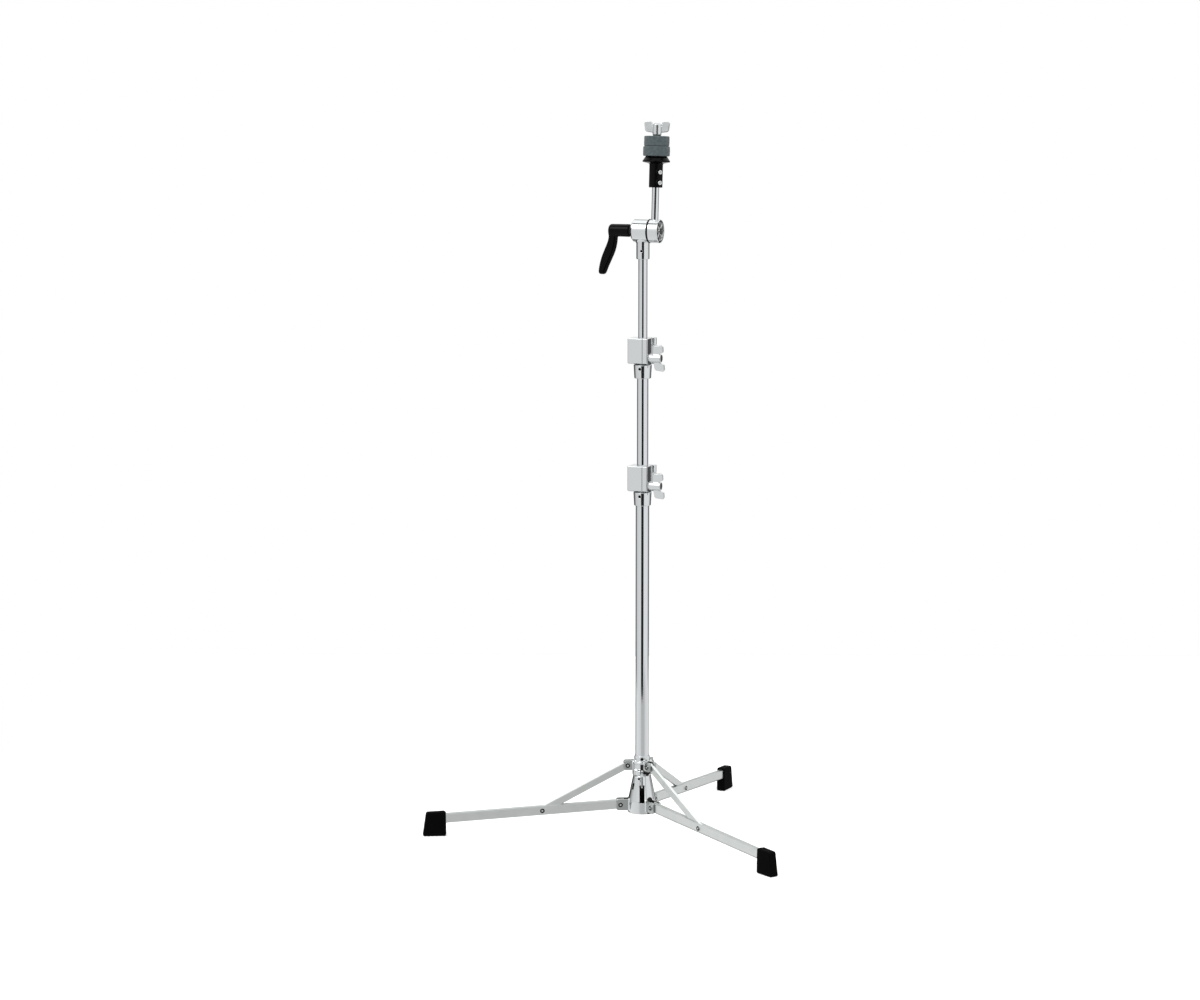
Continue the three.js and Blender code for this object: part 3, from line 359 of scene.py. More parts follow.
def skin(field, low, high, step):
    """The field's zero as a mesh. Each lattice cell that the surface crosses gets one point, the mean of the
    crossings on its edges, drawn onto the zero along the gradient. Each crossed lattice edge gets the quad of
    the four cells around it."""
    low = np.array(low, float) - 2 * step
    counts = np.ceil((np.array(high) + 2 * step - low) / (4 * step)).astype(int)
    value = field_on_lattice(field, low, counts, step)
    inside = value < 0
    cells = tuple(np.array(value.shape) - 1)
    hits, offset = np.zeros(cells), np.zeros((3, *cells))
    for axis in range(3):
        b, c = (k for k in range(3) if k != axis)
        v, side = np.moveaxis(value, axis, 0), np.moveaxis(inside, axis, 0)
        crossed = side[1:] != side[:-1]
        share = np.where(crossed, v[:-1] / np.where(crossed, v[:-1] - v[1:], 1), 0)
        sums = [np.moveaxis(k, axis, 0) for k in (hits, offset[axis], offset[b], offset[c])]
        for db, dc in itertools.product((0, 1), (0, 1)):
            window = (slice(None), slice(db, crossed.shape[1] - 1 + db), slice(dc, crossed.shape[2] - 1 + dc))
            met = crossed[window]
            for total, part in zip(sums, (met, share[window], db * met, dc * met)):
                total += part
    used = hits > 0
    number = np.full(cells, -1)
    number[used] = np.arange(used.sum())
    points = low + step * (np.argwhere(used) + (offset[:, used] / hits[used]).T)
    quads = []
    for axis in range(3):
        side, own = np.moveaxis(inside, axis, 0), np.moveaxis(number, axis, 0)
        i, j, k = np.argwhere(side[1:] != side[:-1]).T
        quad = np.stack([own[i, j - 1, k - 1], own[i, j, k - 1], own[i, j, k], own[i, j - 1, k]], 1)
        backwards = side[i, j, k] == (axis == 1)
        quads.append(np.where(backwards[:, None], quad[:, ::-1], quad))
    for _ in range(3):
        slope = slope_of(field, points, 0.2 * step)
        steepness = np.maximum((slope**2).sum(1), 0.3)
        points = points - slope * np.clip(field(*points.T) / steepness, -step, step)[:, None]
    normals = slope_of(field, points, 0.2 * step)
    normals /= np.maximum(np.linalg.norm(normals, axis=1, keepdims=True), 1e-9)
    return Shape(points, np.concatenate(quads), [], None, normals)


def smooth_step(value, width=1.0):
    """From 0 to 1 over this width: (3 - 2s)s^2 of the share s gone."""
    share = np.clip(value / width, 0, 1)
    return share * share * (3 - 2 * share)


def lumps(points, size, seed):
    """Smooth noise from -1 to 1: random values at the nodes of a lattice, blended by smooth steps."""
    table = np.random.default_rng(seed).uniform(-1, 1, (24, 24, 24))
    grid = points / size
    foot = np.floor(grid).astype(int)
    share = smooth_step(grid - foot)
    total = 0
    for corner in itertools.product((0, 1), repeat=3):
        weight = np.prod(np.where(corner, share, 1 - share), axis=1)
        total = total + weight * table[tuple(((foot + corner) % 24).T)]
    return total


def add_node(tree, kind, inputs=None, **settings):
    """A shader node with its settings, and its inputs set to values or linked to other nodes' outputs."""
    node = tree.nodes.new("ShaderNode" + kind)
    for name, value in settings.items():
        setattr(node, name, value)
    for name, value in (inputs or {}).items():
        if isinstance(value, bpy.types.NodeSocket):
            tree.links.new(value, node.inputs[name])
        else:
            node.inputs[name].default_value = value
    return node


def colour(code):
    """An sRGB hex value as linear light."""
    channels = np.array([code >> 16 & 255, code >> 8 & 255, code & 255]) / 255
    linear = np.where(channels <= 0.04045, channels / 12.92, ((channels + 0.055) / 1.055) ** 2.4)
    return (*linear.tolist(), 1.0)


def per_metre(millimetres):
    """The scale at which a texture repeats once in this many millimetres."""
    return 1000 / millimetres


def cleared(owner):
    """The node tree of a material or world, emptied."""
    owner.use_nodes = True
    owner.node_tree.nodes.clear()
    return owner.node_tree


def material(name, shader):
    """A new material, its tree, its shader node and its coordinates."""
    made = bpy.data.materials.new(name)
    tree = cleared(made)
    surface = add_node(tree, "BsdfPrincipled", shader)
    add_node(tree, "OutputMaterial", {"Surface": surface.outputs["BSDF"]})
    return made, tree, surface, add_node(tree, "TexCoord").outputs


def ranged(tree, value, low, high, to_low=0.0, to_high=1.0):
    """The value moved from one range to another, and held at its ends."""
    inputs = {"Value": value, "From Min": low, "From Max": high, "To Min": to_low, "To Max": to_high}
    return add_node(tree, "MapRange", inputs).outputs["Result"]


def combined(tree, kind, first, second):
    """Two numbers put through a node of arithmetic."""
    return add_node(tree, "Math", {0: first, 1: second}, operation=kind).outputs[0]


def noise(tree, place, size, detail=2.0, roughness=0.5, along=None):
    """Noise with lumps of this many millimetres in object coordinates or, where a length along is given, with
    streaks this wide and that long in the UV: V is scaled by width / length."""
    vector = place["Object"]
    if along:
        stretched = add_node(tree, "Mapping", {"Vector": place["UV"], "Scale": (1.0, size / along, 1.0)})
        vector = stretched.outputs["Vector"]
    inputs = {"Vector": vector, "Scale": per_metre(size), "Detail": detail, "Roughness": roughness}
    return add_node(tree, "TexNoise", inputs).outputs["Fac"]


def worked(tree, surface, dull, shades, bumps):
    """Runs the roughness between two values and the colour between two shades, each given as (share, low,
    high), and lays bumps one on the other, each given as (height from 0 to 1, depth in millimetres)."""
    share, low, high = dull
    tree.links.new(ranged(tree, share, 0, 1, low, high), surface.inputs["Roughness"])
    if shades:
        share, low, high = shades
        mix = add_node(tree, "MixRGB", {"Fac": share, "Color1": colour(low), "Color2": colour(high)})
        tree.links.new(mix.outputs["Color"], surface.inputs["Base Color"])
    normal = {}
    for height, depth in bumps:
        inputs = {"Height": height, "Distance": 0.001 * depth, "Strength": 1.0, **normal}
        normal = {"Normal": add_node(tree, "Bump", inputs).outputs["Normal"]}
    tree.links.new(normal["Normal"], surface.inputs["Normal"])


def finished(name, shader, noises, dull, shades=None):
    """A material over noises, each given as (depth of its bump, what noise takes). The roughness and the
    shades are given as (number of the noise that runs them, low, high)."""
    made, tree, surface, place = material(name, shader)
    shares = [noise(tree, place, *values) for _, *values in noises]
    bumps = [(share, depth) for share, (depth, *_) in zip(shares, noises) if depth]
    dull, shades = ((shares[k[0]], *k[1:]) if k else None for k in (dull, shades))
    worked(tree, surface, dull, shades, bumps)
    return made


def wool_felt():
    """Pressed wool felt, grey with a cast of blue: tangled fibres drawn 0.5 mm wide, coarser than real ones
    so that they show, with lighter and darker tufts and a dusty sheen."""
    made, tree, surface, place = material("pressed_wool_felt", {
        "Sheen Weight": 0.18, "Sheen Roughness": 0.6, "Specular IOR Level": 0.15,
    })
    bend = add_node(tree, "TexNoise", {"Vector": place["Object"], "Scale": per_metre(3.0), "Detail": 2.0})
    inputs = {"Fac": 0.004, "Color1": place["Object"], "Color2": bend.outputs["Color"]}
    bent = add_node(tree, "MixRGB", inputs, blend_type="ADD")
    fibres = noise(tree, {"Object": bent.outputs["Color"]}, 0.5, 4.0, 0.75)
    tufts = noise(tree, place, 3.5, 3.0, 0.6)
    shades = (ranged(tree, combined(tree, "ADD", fibres, tufts), 0.6, 1.4), 0x3B4447, 0x636E71)
    worked(tree, surface, (fibres, 0.88, 1.0), shades, [(tufts, 0.35), (fibres, 0.25)])
    return made


def metal(code):
    """The shader's settings for a bright metal of this colour."""
    return {"Metallic": 1.0, "Base Color": colour(code)}


METAL = {"Metallic": 1.0}
# Noises that two finishes share, as (depth of bump in mm, size in mm, detail, roughness, length along)
CAST = [(0.014, 7, 1.0), (0.003, 1.7), (0, 13, 3.0)]
ROLLED = [(0.006, 0.7, 3.0, 0.6, 45), (0, 16, 3.0)]
NICKEL = (1, 0xD6DAD8, 0xE4E7E5)
FINISHES = {
    # Chrome-plated zinc die casting: a mirror over the slight ripple that the mould and buffing leave
    "chrome": finished("chrome_plated_casting", metal(0xD6D9DA), CAST, (2, 0.05, 0.13)),
    # The same on the ears' flat faces, made darker as painted shade: a darker mirror for the shade that falls on
    # them
    "chrome_ears_painted_shade": finished("chrome_casting_painted_shade", metal(0xAEB2B1), CAST, (2, 0.05, 0.13)),
    # Chrome-plated drawn steel tube, polished lengthwise: a clear mirror, with a faint haze of handling
    "tube": finished("chrome_plated_tube", metal(0xD8DBDD), [(0, 24, 3.0), (0.0012, 1.6, 3.0, 0.6, 90)],
                     (0, 0.03, 0.11)),
    # Nickel-plated cold-rolled strip: satin, neutral to faintly green, with the rolling lines along the bar
    "leg_plate": finished("nickel_plated_strip", METAL, ROLLED, (0, 0.22, 0.42), NICKEL),
    # The inside of the legs, which is not polished: dull and whitish
    "leg_inside": finished("unpolished_strip", {"Metallic": 0.05}, ROLLED, (0, 0.62, 0.8), NICKEL),
    # Zinc-plated turned steel, as on pins, bolts and springs: bright grey with a fine cut
    "plain_steel": finished("zinc_plated_steel", METAL, [(0.004, 0.8)], (0, 0.14, 0.3),
                            (0, 0xBFC3C6, 0xD4D7DA)),
    # Black-oxide steel: near black, oily, a little brown where the oxide is thin. It is also laid as painted
    # shade, near black, in the castings' hollows and gaps, the rivets' grooves and the base tube's foot
    "dark_screw": finished("black_oxide_steel_and_painted_shade", METAL, [(0.006, 0.6, 3.0)], (0, 0.3, 0.5),
                           (0, 0x1E1F21, 0x3A3735)),
    # The sunk fields of the tilter's end cap: matt grey-green lacquer over the casting
    "cap_grey": finished("lacquered_recess", {"Metallic": 0.3}, [(0.03, 0.9, 3.0)], (0, 0.42, 0.58),
                         (0, 0x2E332F, 0x434944)),
    # Moulded gloss black ABS: deep black with crisp highlights, slight sink waves and fine scuffs
    "black_plastic": finished("gloss_black_abs", {
        "Base Color": colour(0x040405), "IOR": 1.53, "Specular IOR Level": 0.08,
    }, [(0.03, 11, 1.0), (0.002, 2.2, 4.0, 0.7)], (1, 0.08, 0.26)),
    # Moulded black rubber: matt, with the mould's spark-eroded grain and a little floor dust
    "foot_rubber": finished("moulded_black_rubber", {"IOR": 1.52, "Specular IOR Level": 0.03},
                            [(0.05, 0.7, 3.0, 0.7), (0, 9, 4.0, 0.65)], (0, 0.55, 0.8),
                            (1, 0x030303, 0x080707)),
    # Nitrile rubber ring: matt black, smooth from the cutting die
    "gasket_rubber": finished("nitrile_rubber", {
        "Base Color": colour(0x070708), "IOR": 1.52, "Specular IOR Level": 0.15,
    }, [(0.02, 1.1)], (0, 0.5, 0.68)),
    # Moulded natural nylon: milky grey, with a soft, waxy sheen
    "nylon": finished("moulded_nylon", {"IOR": 1.53}, [(0, 5), (0.01, 0.9)], (0, 0.38, 0.55),
                      (0, 0xA9ADAB, 0xBDC1BF)),
    "felt": wool_felt(),
}
BODIES = frame["record"]["behaviour"]["bodies"]
NODE_BODY = {node: body for body, nodes in BODIES.items() for node in nodes}


def added(name, data):
    """A new object in the scene."""
    thing = bpy.data.objects.new(name, data)
    bpy.context.scene.collection.objects.link(thing)
    return thing


def make(node, shape, place, slot, finish=None, others=()):
    """Puts a shape in its place as the piece that stands for this node, on the node's own body. Each of the
    others is a finish and a test on (x, y, z): it goes to the faces whose middles pass, the last one winning."""
    mesh = bpy.data.meshes.new("dressed_" + node)
    points = 0.001 * (place.origin + shape.points @ place.axes)
    mesh.from_pydata(points.tolist(), [], shape.quads.tolist() + [cap.tolist() for cap in shape.caps])
    mesh.polygons.foreach_set("use_smooth", np.ones(len(mesh.polygons), bool))
    if shape.uv is not None:
        layer = mesh.uv_layers.new(name="lengthwise")
        layer.data.foreach_set("uv", shape.uv.astype(np.float32).ravel())
    mesh.normals_split_custom_set_from_vertices((shape.normals @ place.axes).tolist())
    mesh.materials.append(FINISHES[finish or slot])
    chosen = np.zeros(len(mesh.polygons), np.int32)
    middles = shape.points[shape.quads].mean(1)
    for index, (other, passes) in enumerate(others, 1):
        mesh.materials.append(FINISHES[other])
        chosen[:len(middles)][passes(*middles.T)] = index
    mesh.polygons.foreach_set("material_index", chosen)
    piece = added("dressed_" + node, mesh)
    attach(piece, NODE_BODY[node])
    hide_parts(node)
    return piece


def tube_shape(radius, low, high):
    """A drawn tube with its cut edges broken."""
    inner = radius - TUBE_WALL
    corners = [(inner, low, 0.35), (radius, low, 0.5), (radius, high, 0.5), (inner, high, 0.35)]
    return turned(corners, 128, wrap=True, steps=4)


def rivet_shape(grip, shank):
    """A semi-tubular rivet along Z: each head is a rolled rim about a groove, with a flat button inside."""
    half = grip / 2 + 0.15
    profile = [(shank, 0), (3.4, 0, 0.1), (3.4, 0.7, 0.4), (2.9, 1.3, 0.3), (2.45, 1.3, 0.2), (2.1, 0.3, 0.1),
               (1.6, 0.3, 0.1), (1.5, 1.0, 0.2), (0.02, 1.05)]
    head = [(r, half + h, *rest) for r, h, *rest in profile]
    lower = [(r, -h, *rest) for r, h, *rest in reversed(head)]
    return turned(lower + head, 64)


def in_rivet_groove_painted_shade(x, y, z):
    """The groove of a rivet's head and most of its rim, painted near black as the shade that lies in it."""
    r = np.hypot(x, y)
    return (r > 1.25) & (r < 3.2)


def hexagon(sides, across):
    """The radius of a hexagon, half across / cos(the angle to the middle of its nearest flat)."""
    a = angles(sides)
    return across / 2 / np.cos((a + np.pi / 6) % (np.pi / 3) - np.pi / 6)


def screw_rings(profile, face, across, depth, sides=72):
    """The rings of a turned screw, then a hexagon sunk into its face: across the flats, and this deep."""
    r = hexagon(sides, across)
    levels = [(r + 0.12, face), (r, face - 0.12), (r, face - depth), (r * 0.1, face - depth - 0.3)]
    return lofted(np.concatenate([turned_rings(profile, sides), [rings_at(*level) for level in levels]]))


def set_screw(radius, foot, face):
    """A headless screw with a cup of chamfer at its face."""
    corners = [(radius, foot), (radius, face - 0.3, 0.1), (radius - 0.3, face, 0.1), (radius * 0.75, face)]
    return screw_rings(filleted(corners), face, radius * 1.05, 1.3)


def cap_screw(shank, head, foot, seat, height):
    """A screw with a low cheese head."""
    face = seat + height
    corners = [(shank, foot), (shank, seat), (head, seat, 0.15), (head, face, 0.45), (head * 0.62, face)]
    return screw_rings(filleted(corners), face, head * 0.92, height * 0.8)


def threaded(radius, pitch, depth, low, high, start, sides=64):
    """A rod along Z with a thread from start up: the radius is the crest less depth times the triangle wave
    of (height / pitch - angle / turn), let in and out smoothly at both ends."""
    end = high - np.array([0.8, 0.5, 0.1, 0])
    heights = np.concatenate([[low, low + 0.4], np.arange(start, high - 0.9, pitch / 10), end])
    phase = heights[:, None] / pitch - angles(sides) / (2 * np.pi)
    wave = np.abs(2 * (phase % 1) - 1)
    groove = np.clip((heights - start) / pitch, 0, 1) * np.clip((high - 0.8 - heights) / pitch, 0, 1)
    edge = np.clip(heights - (high - 0.8), 0, 1) + np.where(heights == low, 0.4, 0)
    return lofted(rings_at(radius - depth * wave * groove[:, None] - edge[:, None], heights[:, None]))


def slotted_foot(x, y, z):
    """The foot of the base tube inside the hub, cut away behind the hub's slot and its window."""
    radius, foot, _ = TUBES["base_tube"]
    wall = meet(span(np.hypot(x, y), radius - TUBE_WALL, radius), span(z, foot, TUBE_FOOT_TOP), 0.2)
    for turn, half, low, high in ((SLOT_TURN, 4.1, 45.0, 71.0), (WINDOW_TURN, 2.3, 62.6, 72.8)):
        u, v = about_pole(x, y, turn)
        wall = np.maximum(wall, -np.maximum(meet(np.abs(v) - half, span(z, low, high), 1), -u))
    return wall


def in_foot_painted_shade(x, y, z):
    """Below the height where the base tube's foot ends: painted near black as the shade inside the hub, seen
    through its slot and window.
    """
    return z < TUBE_FOOT_TOP


for node, (radius, low, high) in TUBES.items():
    shape = tube_shape(radius, TUBE_FOOT_TOP + 0.05 if node == "base_tube" else low, high)
    if node == "base_tube":
        shape = together(shape, skin(slotted_foot, (-10, -10, 34), (10, 10, 76.5), 0.35))
    # The foot inside the hub is painted near black, as painted shade
    make(node, shape, POLE, "chrome", "tube", [("dark_screw", in_foot_painted_shade)])

for side, leg in LEGS.items():
    turn, across = LEG_TURNS[side], (0, -1, 0)
    at_collar = COLLAR_PIN_RADIUS * toward(turn) + COLLAR_PIN_HEIGHT * UP
    for node, grip, shank, place in (
        ("hub_pin", 14.0, 2.4, within(leg, (0, 0, 0), EAST, across)),
        ("leg_pin", LEG_WIDTH, 2, within(leg, (BRACE_FOOT_ON_LEG, 0, 0), EAST, across)),
        ("collar_pin", 11.9, 2, within(POLE, at_collar, toward(turn), toward(turn - 90))),
    ):
        shape = rivet_shape(grip, shank)
        # The rivets' grooves are painted near black, as painted shade
        make(f"{node}_{side}", shape, place, "chrome", others=[("dark_screw", in_rivet_groove_painted_shade)])

for node, outer, level, (turn, height, radius), inner, face in (
    ("hub_screw", POLE, 0, HUB_SCREW, 9.8, 13.2),
    ("collar_screw", POLE, COLLAR_FOOT, COLLAR_SCREW, 9.8, 11.8),
    *((f"receiver_screw_{where}", POLE, foot, RECEIVER_SCREW, tube + 0.3, 11.9)
      for where, (foot, tube, _) in RECEIVERS.items()),
    ("tilter_neck_screw", HEAD, 0, NECK_SCREW, 6.65, 9.1),
):
    make(node, set_screw(radius, inner, face), radial(outer, level + height, turn), "dark_screw")
seat_screw = cap_screw(SEAT_SCREW_RADIUS, 2.9, 5.2, 11.85, 1.5)
for where, rise in SEAT_SCREW_RISES.items():
    make(f"seat_screw_{where}", seat_screw, radial(ROD, rise, SEAT_SCREW_TURN), "chrome")


def channel_section():
    """A U of strip: a centre line with rounded corners, and the wall laid off to both sides of it, narrowed
    by an arc of 0.2 mm at its two edges."""
    half, top, broken = (LEG_WIDTH - LEG_WALL) / 2, LEG_DEPTH / 2, 0.2
    low = LEG_WALL / 2 - top
    line = filleted([(-half, top), (-half, low, 1.9), (half, low, 1.9), (half, top)], steps=7)
    edge = np.append(broken * (1 - np.cos(np.linspace(0, np.pi / 2, 5))), 1.0)
    sunk = np.stack([0 * edge, edge], 1)
    left, right = line[0] - sunk, (line[-1] - sunk)[::-1]
    line = np.concatenate([left, line[1:-1], right])
    above = np.clip(broken - (top - line[:, 1]), 0, broken)
    half_wall = LEG_WALL / 2 - broken + np.sqrt(np.maximum(broken**2 - above**2, 0))
    return line, half_wall[:, None] * right_of(np.gradient(line, axis=0))


def leg_shape():
    """The channel's section carried along X, a little thinner in the wall at the two cut ends."""
    line, offset = channel_section()
    stations = np.array([-LEG_HEEL, -LEG_HEEL + 0.25, *np.linspace(0, LEG_LENGTH - 0.25, 24), LEG_LENGTH])
    thick = np.ones(len(stations))
    thick[[0, -1]] = 0.62
    outer = line[None] + thick[:, None, None] * offset[None]
    inner = (line[None] - thick[:, None, None] * offset[None])[:, ::-1]
    loop = np.concatenate([outer, inner], 1)
    along = np.broadcast_to(stations[:, None], loop.shape[:2])
    return lofted(np.stack([along, loop[..., 0], loop[..., 1]], -1))


def in_channel(x, y, z):
    """Within the channel's walls and above its floor."""
    return (np.abs(y) < LEG_WIDTH / 2 - LEG_WALL + 0.05) & (z > LEG_WALL - LEG_DEPTH / 2 - 0.05)


def brace_shape():
    """A stadium: two half circles about the rivets, joined by straight edges."""
    a = np.linspace(-np.pi / 2, np.pi / 2, 25)
    end = BRACE_END * np.stack([np.cos(a), np.sin(a)], 1)
    return rounded_bar(np.concatenate([end + (BRACE_LENGTH, 0), -end]), 2.3, 0.7)


def foot_block(x, y, z):
    """A moulded block in the leg's own upright plane: its side outline has rounded corners, its two long
    sides lean in by a degree, a parting line runs round the middle, the leg sits in a pocket, and the sole
    has grooves."""
    side = rounded_outline(x - FOOT_REACH, z, [(-33, 0, 2.6), (0, 0, 2.6), (-5, 33.8, 3.6), (-33, 35, 3.2)])
    block = meet(side, np.abs(y) - 6.5 + 0.014 * z, 1.9)
    block = join(block, np.maximum(side - 0.28, np.abs(y) - 0.35), 0.3)
    c, s = np.cos(np.radians(LEG_SLOPE)), np.sin(np.radians(LEG_SLOPE))
    u, w = x - LEG_PIVOT_RADIUS, z - LEG_PIVOT_HEIGHT
    wide, deep = np.abs(y) - LEG_WIDTH / 2 - FOOT_FIT, np.abs(s * u + c * w) - LEG_DEPTH / 2 - FOOT_FIT
    pocket = np.maximum(meet(wide, deep, 0.6), c * u - s * w - LEG_LENGTH - FOOT_FIT)
    along, pitch = x - FOOT_REACH + 16.5, 5.5
    groove = np.hypot((along + pitch / 2) % pitch - pitch / 2, z + 0.1) - 0.9
    return carve(carve(block, pocket, 0.6), np.maximum(groove, np.abs(along) - 13.5), 0.3)


leg, brace = leg_shape(), brace_shape()
foot = skin(foot_block, (277, -7, -0.5), (311, 7, 36), 0.42)
for side in LEG_TURNS:
    make(f"leg_{side}", leg, LEGS[side], "leg_plate", others=[("leg_inside", in_channel)])
    make(f"brace_{side}", brace, brace_place(side), "leg_plate")
    make(f"foot_{side}", foot, within(POLE, (0, 0, 0), toward(LEG_TURNS[side]), UP), "foot_rubber")


def cheeks(u, v, z, reach, centre, height, gap, wall, corner):
    """Two plates on both sides of a gap, with rounded outer corners and broken edges."""
    side = meet(u - reach, np.abs(z - centre) - height / 2, corner)
    return np.maximum(meet(side, np.abs(np.abs(v) - (gap + wall) / 2) - wall / 2, 0.7), 9.8 - u)


def hub_casting(x, y, z):
    """A cone on a skirt, with three pairs of ears and a pad run into it, and its slot, window and screw hole
    cut."""
    r = np.hypot(x, y)
    body = rounded_outline(r, z, [
        (-5, HUB_FOOT), (HUB_SKIRT_RADIUS, HUB_FOOT, 1.4), (HUB_SKIRT_RADIUS, HUB_SKIRT_TOP, 16),
        (HUB_TOP_RADIUS, HUB_TOP, 1.0), (-5, HUB_TOP),
    ])
    for u, v in along_legs(x, y):
        body = join(body, cheeks(u, v, z, 36.8, LEG_PIVOT_HEIGHT, 16, 8.8, 2.6, 3.4), 1.9)
    u, v = about_pole(x, y, HUB_PAD_TURN)
    lean = np.arctan2(HUB_SKIRT_RADIUS - HUB_TOP_RADIUS, HUB_TOP - HUB_SKIRT_TOP)
    face = (u - HUB_TOP_RADIUS) * np.cos(lean) + (z - HUB_TOP) * np.sin(lean) - 0.8
    pad = meet(meet(face, np.abs(v) - 4.2, 0.6), span(z, 68.5, 82), 0.8)
    body = join(body, np.maximum(pad, 8 - u), 0.8)
    bore = np.maximum(r - TUBES["base_tube"][0] - TUBE_FIT, 34.2 - z)
    body = carve(carve(body, bore, 0.5), r - 6.5, 0.5)
    for turn, half, low, high, corner, rim in HUB_OPENINGS:
        u, v = about_pole(x, y, turn)
        body = carve(body, np.maximum(meet(np.abs(v) - half, span(z, low, high), corner), 8 - u), rim)
    return drilled(body, x, y, z, HUB_SCREW, 8, 0.4)


def in_hub_ears_painted_shade(x, y, z):
    """The ears, outside the hub's skirt, where the chrome is painted darker as shade."""
    return np.hypot(x, y) > HUB_SKIRT_RADIUS + 1.5


def in_collar_ears_painted_shade(x, y, z):
    """The ears, outside the collar's crown ring, where the chrome is painted darker as shade."""
    return np.hypot(x, y) > 16


def between_ears(x, y, start, half):
    """In the gap between two ears, from this distance out."""
    return np.any([(u > start) & (np.abs(v) < half) for u, v in along_legs(x, y)], axis=0)


def in_hub_hollow_painted_shade(x, y, z):
    """The hub's bore, its slot and window, and the gaps between its ears, painted near black as the shade in
    them.
    """
    hollow = (np.hypot(x, y) < 9.8) | between_ears(x, y, 18.5, 4.5)
    for turn, half, low, high, *_ in HUB_OPENINGS:
        u, v = about_pole(x, y, turn)
        hollow |= (u > 0) & (np.abs(v) < half + 0.2) & (span(z, low, high) < 0.2)
    return hollow


def collar_opening(x, y, z):
    """The recess in the collar's skirt, from its front round to the right: a ring's sector."""
    r, turn = np.hypot(x, y), np.degrees(np.arctan2(y, x))
    return np.maximum(np.maximum(10.9 - r, r * np.radians(span(turn, -106, -24))), span(z, 2.0, 15.4))


def in_collar_hollow_painted_shade(x, y, z):
    """The collar's opening and the gaps between its ears, painted near black as the shade in them."""
    opening = (np.hypot(x, y) < 13.2) & (collar_opening(x, y, z - COLLAR_FOOT) < 0.35)
    return opening | between_ears(x, y, 12, 2.8)


def collar_casting(x, y, z):
    """A sleeve on a flared skirt, with a crown ring and three pairs of ears run into it."""
    r = np.hypot(x, y)
    z = z - COLLAR_FOOT
    body = rounded_outline(r, z, [
        (-5, 0), (13.6, 0, 0.9), (13.6, 6.4, 0.9), (11, 9, 1.5), (11, 15.5, 0.8), (15, 16.3, 0.8),
        (15, 19.7, 1.2), (11, 19.7, 0.8), (11, 27.4, 1.0), (-5, 27.4),
    ])
    body = carve(body, collar_opening(x, y, z), 0.3)
    for u, v in along_legs(x, y):
        body = join(body, cheeks(u, v, z, 26.3, COLLAR_PIN_HEIGHT - COLLAR_FOOT, 13.6, 5.3, 3.3, 3.6), 1.6)
    for u, v in along_legs(x, y):
        body = carve(body, np.maximum(np.abs(v) - 2.65, 15.4 - u), 0.6)
    return drilled(carve(body, r - 9.7, 0.5), x, y, z, COLLAR_SCREW, 8, 0.4)


def tongue_shape():
    """A strip 3 mm wide and 1.2 thick that follows the hub's cone up to the collar's skirt: its section, a
    rounded oblong, is carried along the path, and narrows at the tip. It is twisted by 10 degrees."""
    path = filleted([(15.9, 66.7), (13.3, 82.6, 3.0), (14.6, 84.8, 3.0), (14.6, 91.8)], steps=8)
    path = np.concatenate([np.linspace(path[0], path[1], 12)[:-1], path[1:]])
    out = right_of(np.gradient(path, axis=0))
    corners = ((-1.5, -0.6), (1.5, -0.6), (1.5, 0.6), (-1.5, 0.6))
    section = filleted([(*corner, 0.35) for corner in corners], True, 3)
    gone = np.concatenate([[0], np.cumsum(np.linalg.norm(np.diff(path, axis=0), axis=1))])
    width, thick = np.clip(0.55 + gone / 3, 0, 1)[:, None] * section[None, :, 0], section[None, :, 1]
    c, s = np.cos(np.radians(10)), np.sin(np.radians(10))
    x, z = (path[:, None, k] + out[:, None, k] * (thick * c + width * s) for k in (0, 1))
    return lofted(np.stack([x, width * c - thick * s, z], -1))


# The ears' chrome is painted darker, and the hollows near black, as painted shade
make("base_hub", skin(hub_casting, (-38, -36.5, 28.5), (25.5, 36.5, 84), 0.45), POLE, "chrome",
     others=[("chrome_ears_painted_shade", in_hub_ears_painted_shade), ("dark_screw", in_hub_hollow_painted_shade)])
make("brace_collar", skin(collar_casting, (-27, -26.5, 83), (19, 26.5, 112), 0.4), POLE, "chrome",
     others=[("chrome_ears_painted_shade", in_collar_ears_painted_shade), ("dark_screw", in_collar_hollow_painted_shade)])
make("collar_tongue", tongue_shape(), within(POLE, (0, 0, 0), toward(SLOT_TURN), UP), "chrome", "tube")


def receiver_casting(tube, x, y, z):
    """A flared socket with a rounded shoulder, a low rim round the bush's flange, and its screw's hole."""
    r = np.hypot(x, y)
    body = rounded_outline(r, z, [(-5, 0), (11.7, 0, 1.0), (12.8, 19.15, 1.0), (-5, 19.15)])
    body = carve(body, r - tube - TUBE_FIT, 0.5)
    body = np.maximum(body, -np.maximum(r - 10.5, 18.5 - z))
    return drilled(body, x, y, z, RECEIVER_SCREW, 5, 0.45)


def bush_shape(tube, inner):
    """A nylon sleeve with a thin flange."""
    bore, outside = inner + 0.08, tube - TUBE_FIT
    return turned([(bore, 9.9, 0.3), (outside, 9.9), (outside, 18.7), (10.4, 18.7, 0.15), (10.4, 19.2, 0.15),
                   (bore, 19.2, 0.25)], 96, wrap=True, steps=3)


def lock_half(plan, split, y, z):
    """A block over this plan, with a flat face at the split and a slope of 2.4 in 8 mm under its front."""
    chin = (-2.4 * (y + 8) - 8 * z) / np.hypot(2.4, 8)
    return meet(meet(meet(plan, span(z, 0, LOCK_HEIGHT), 0.9), chin, 1.4), split, 0.25)


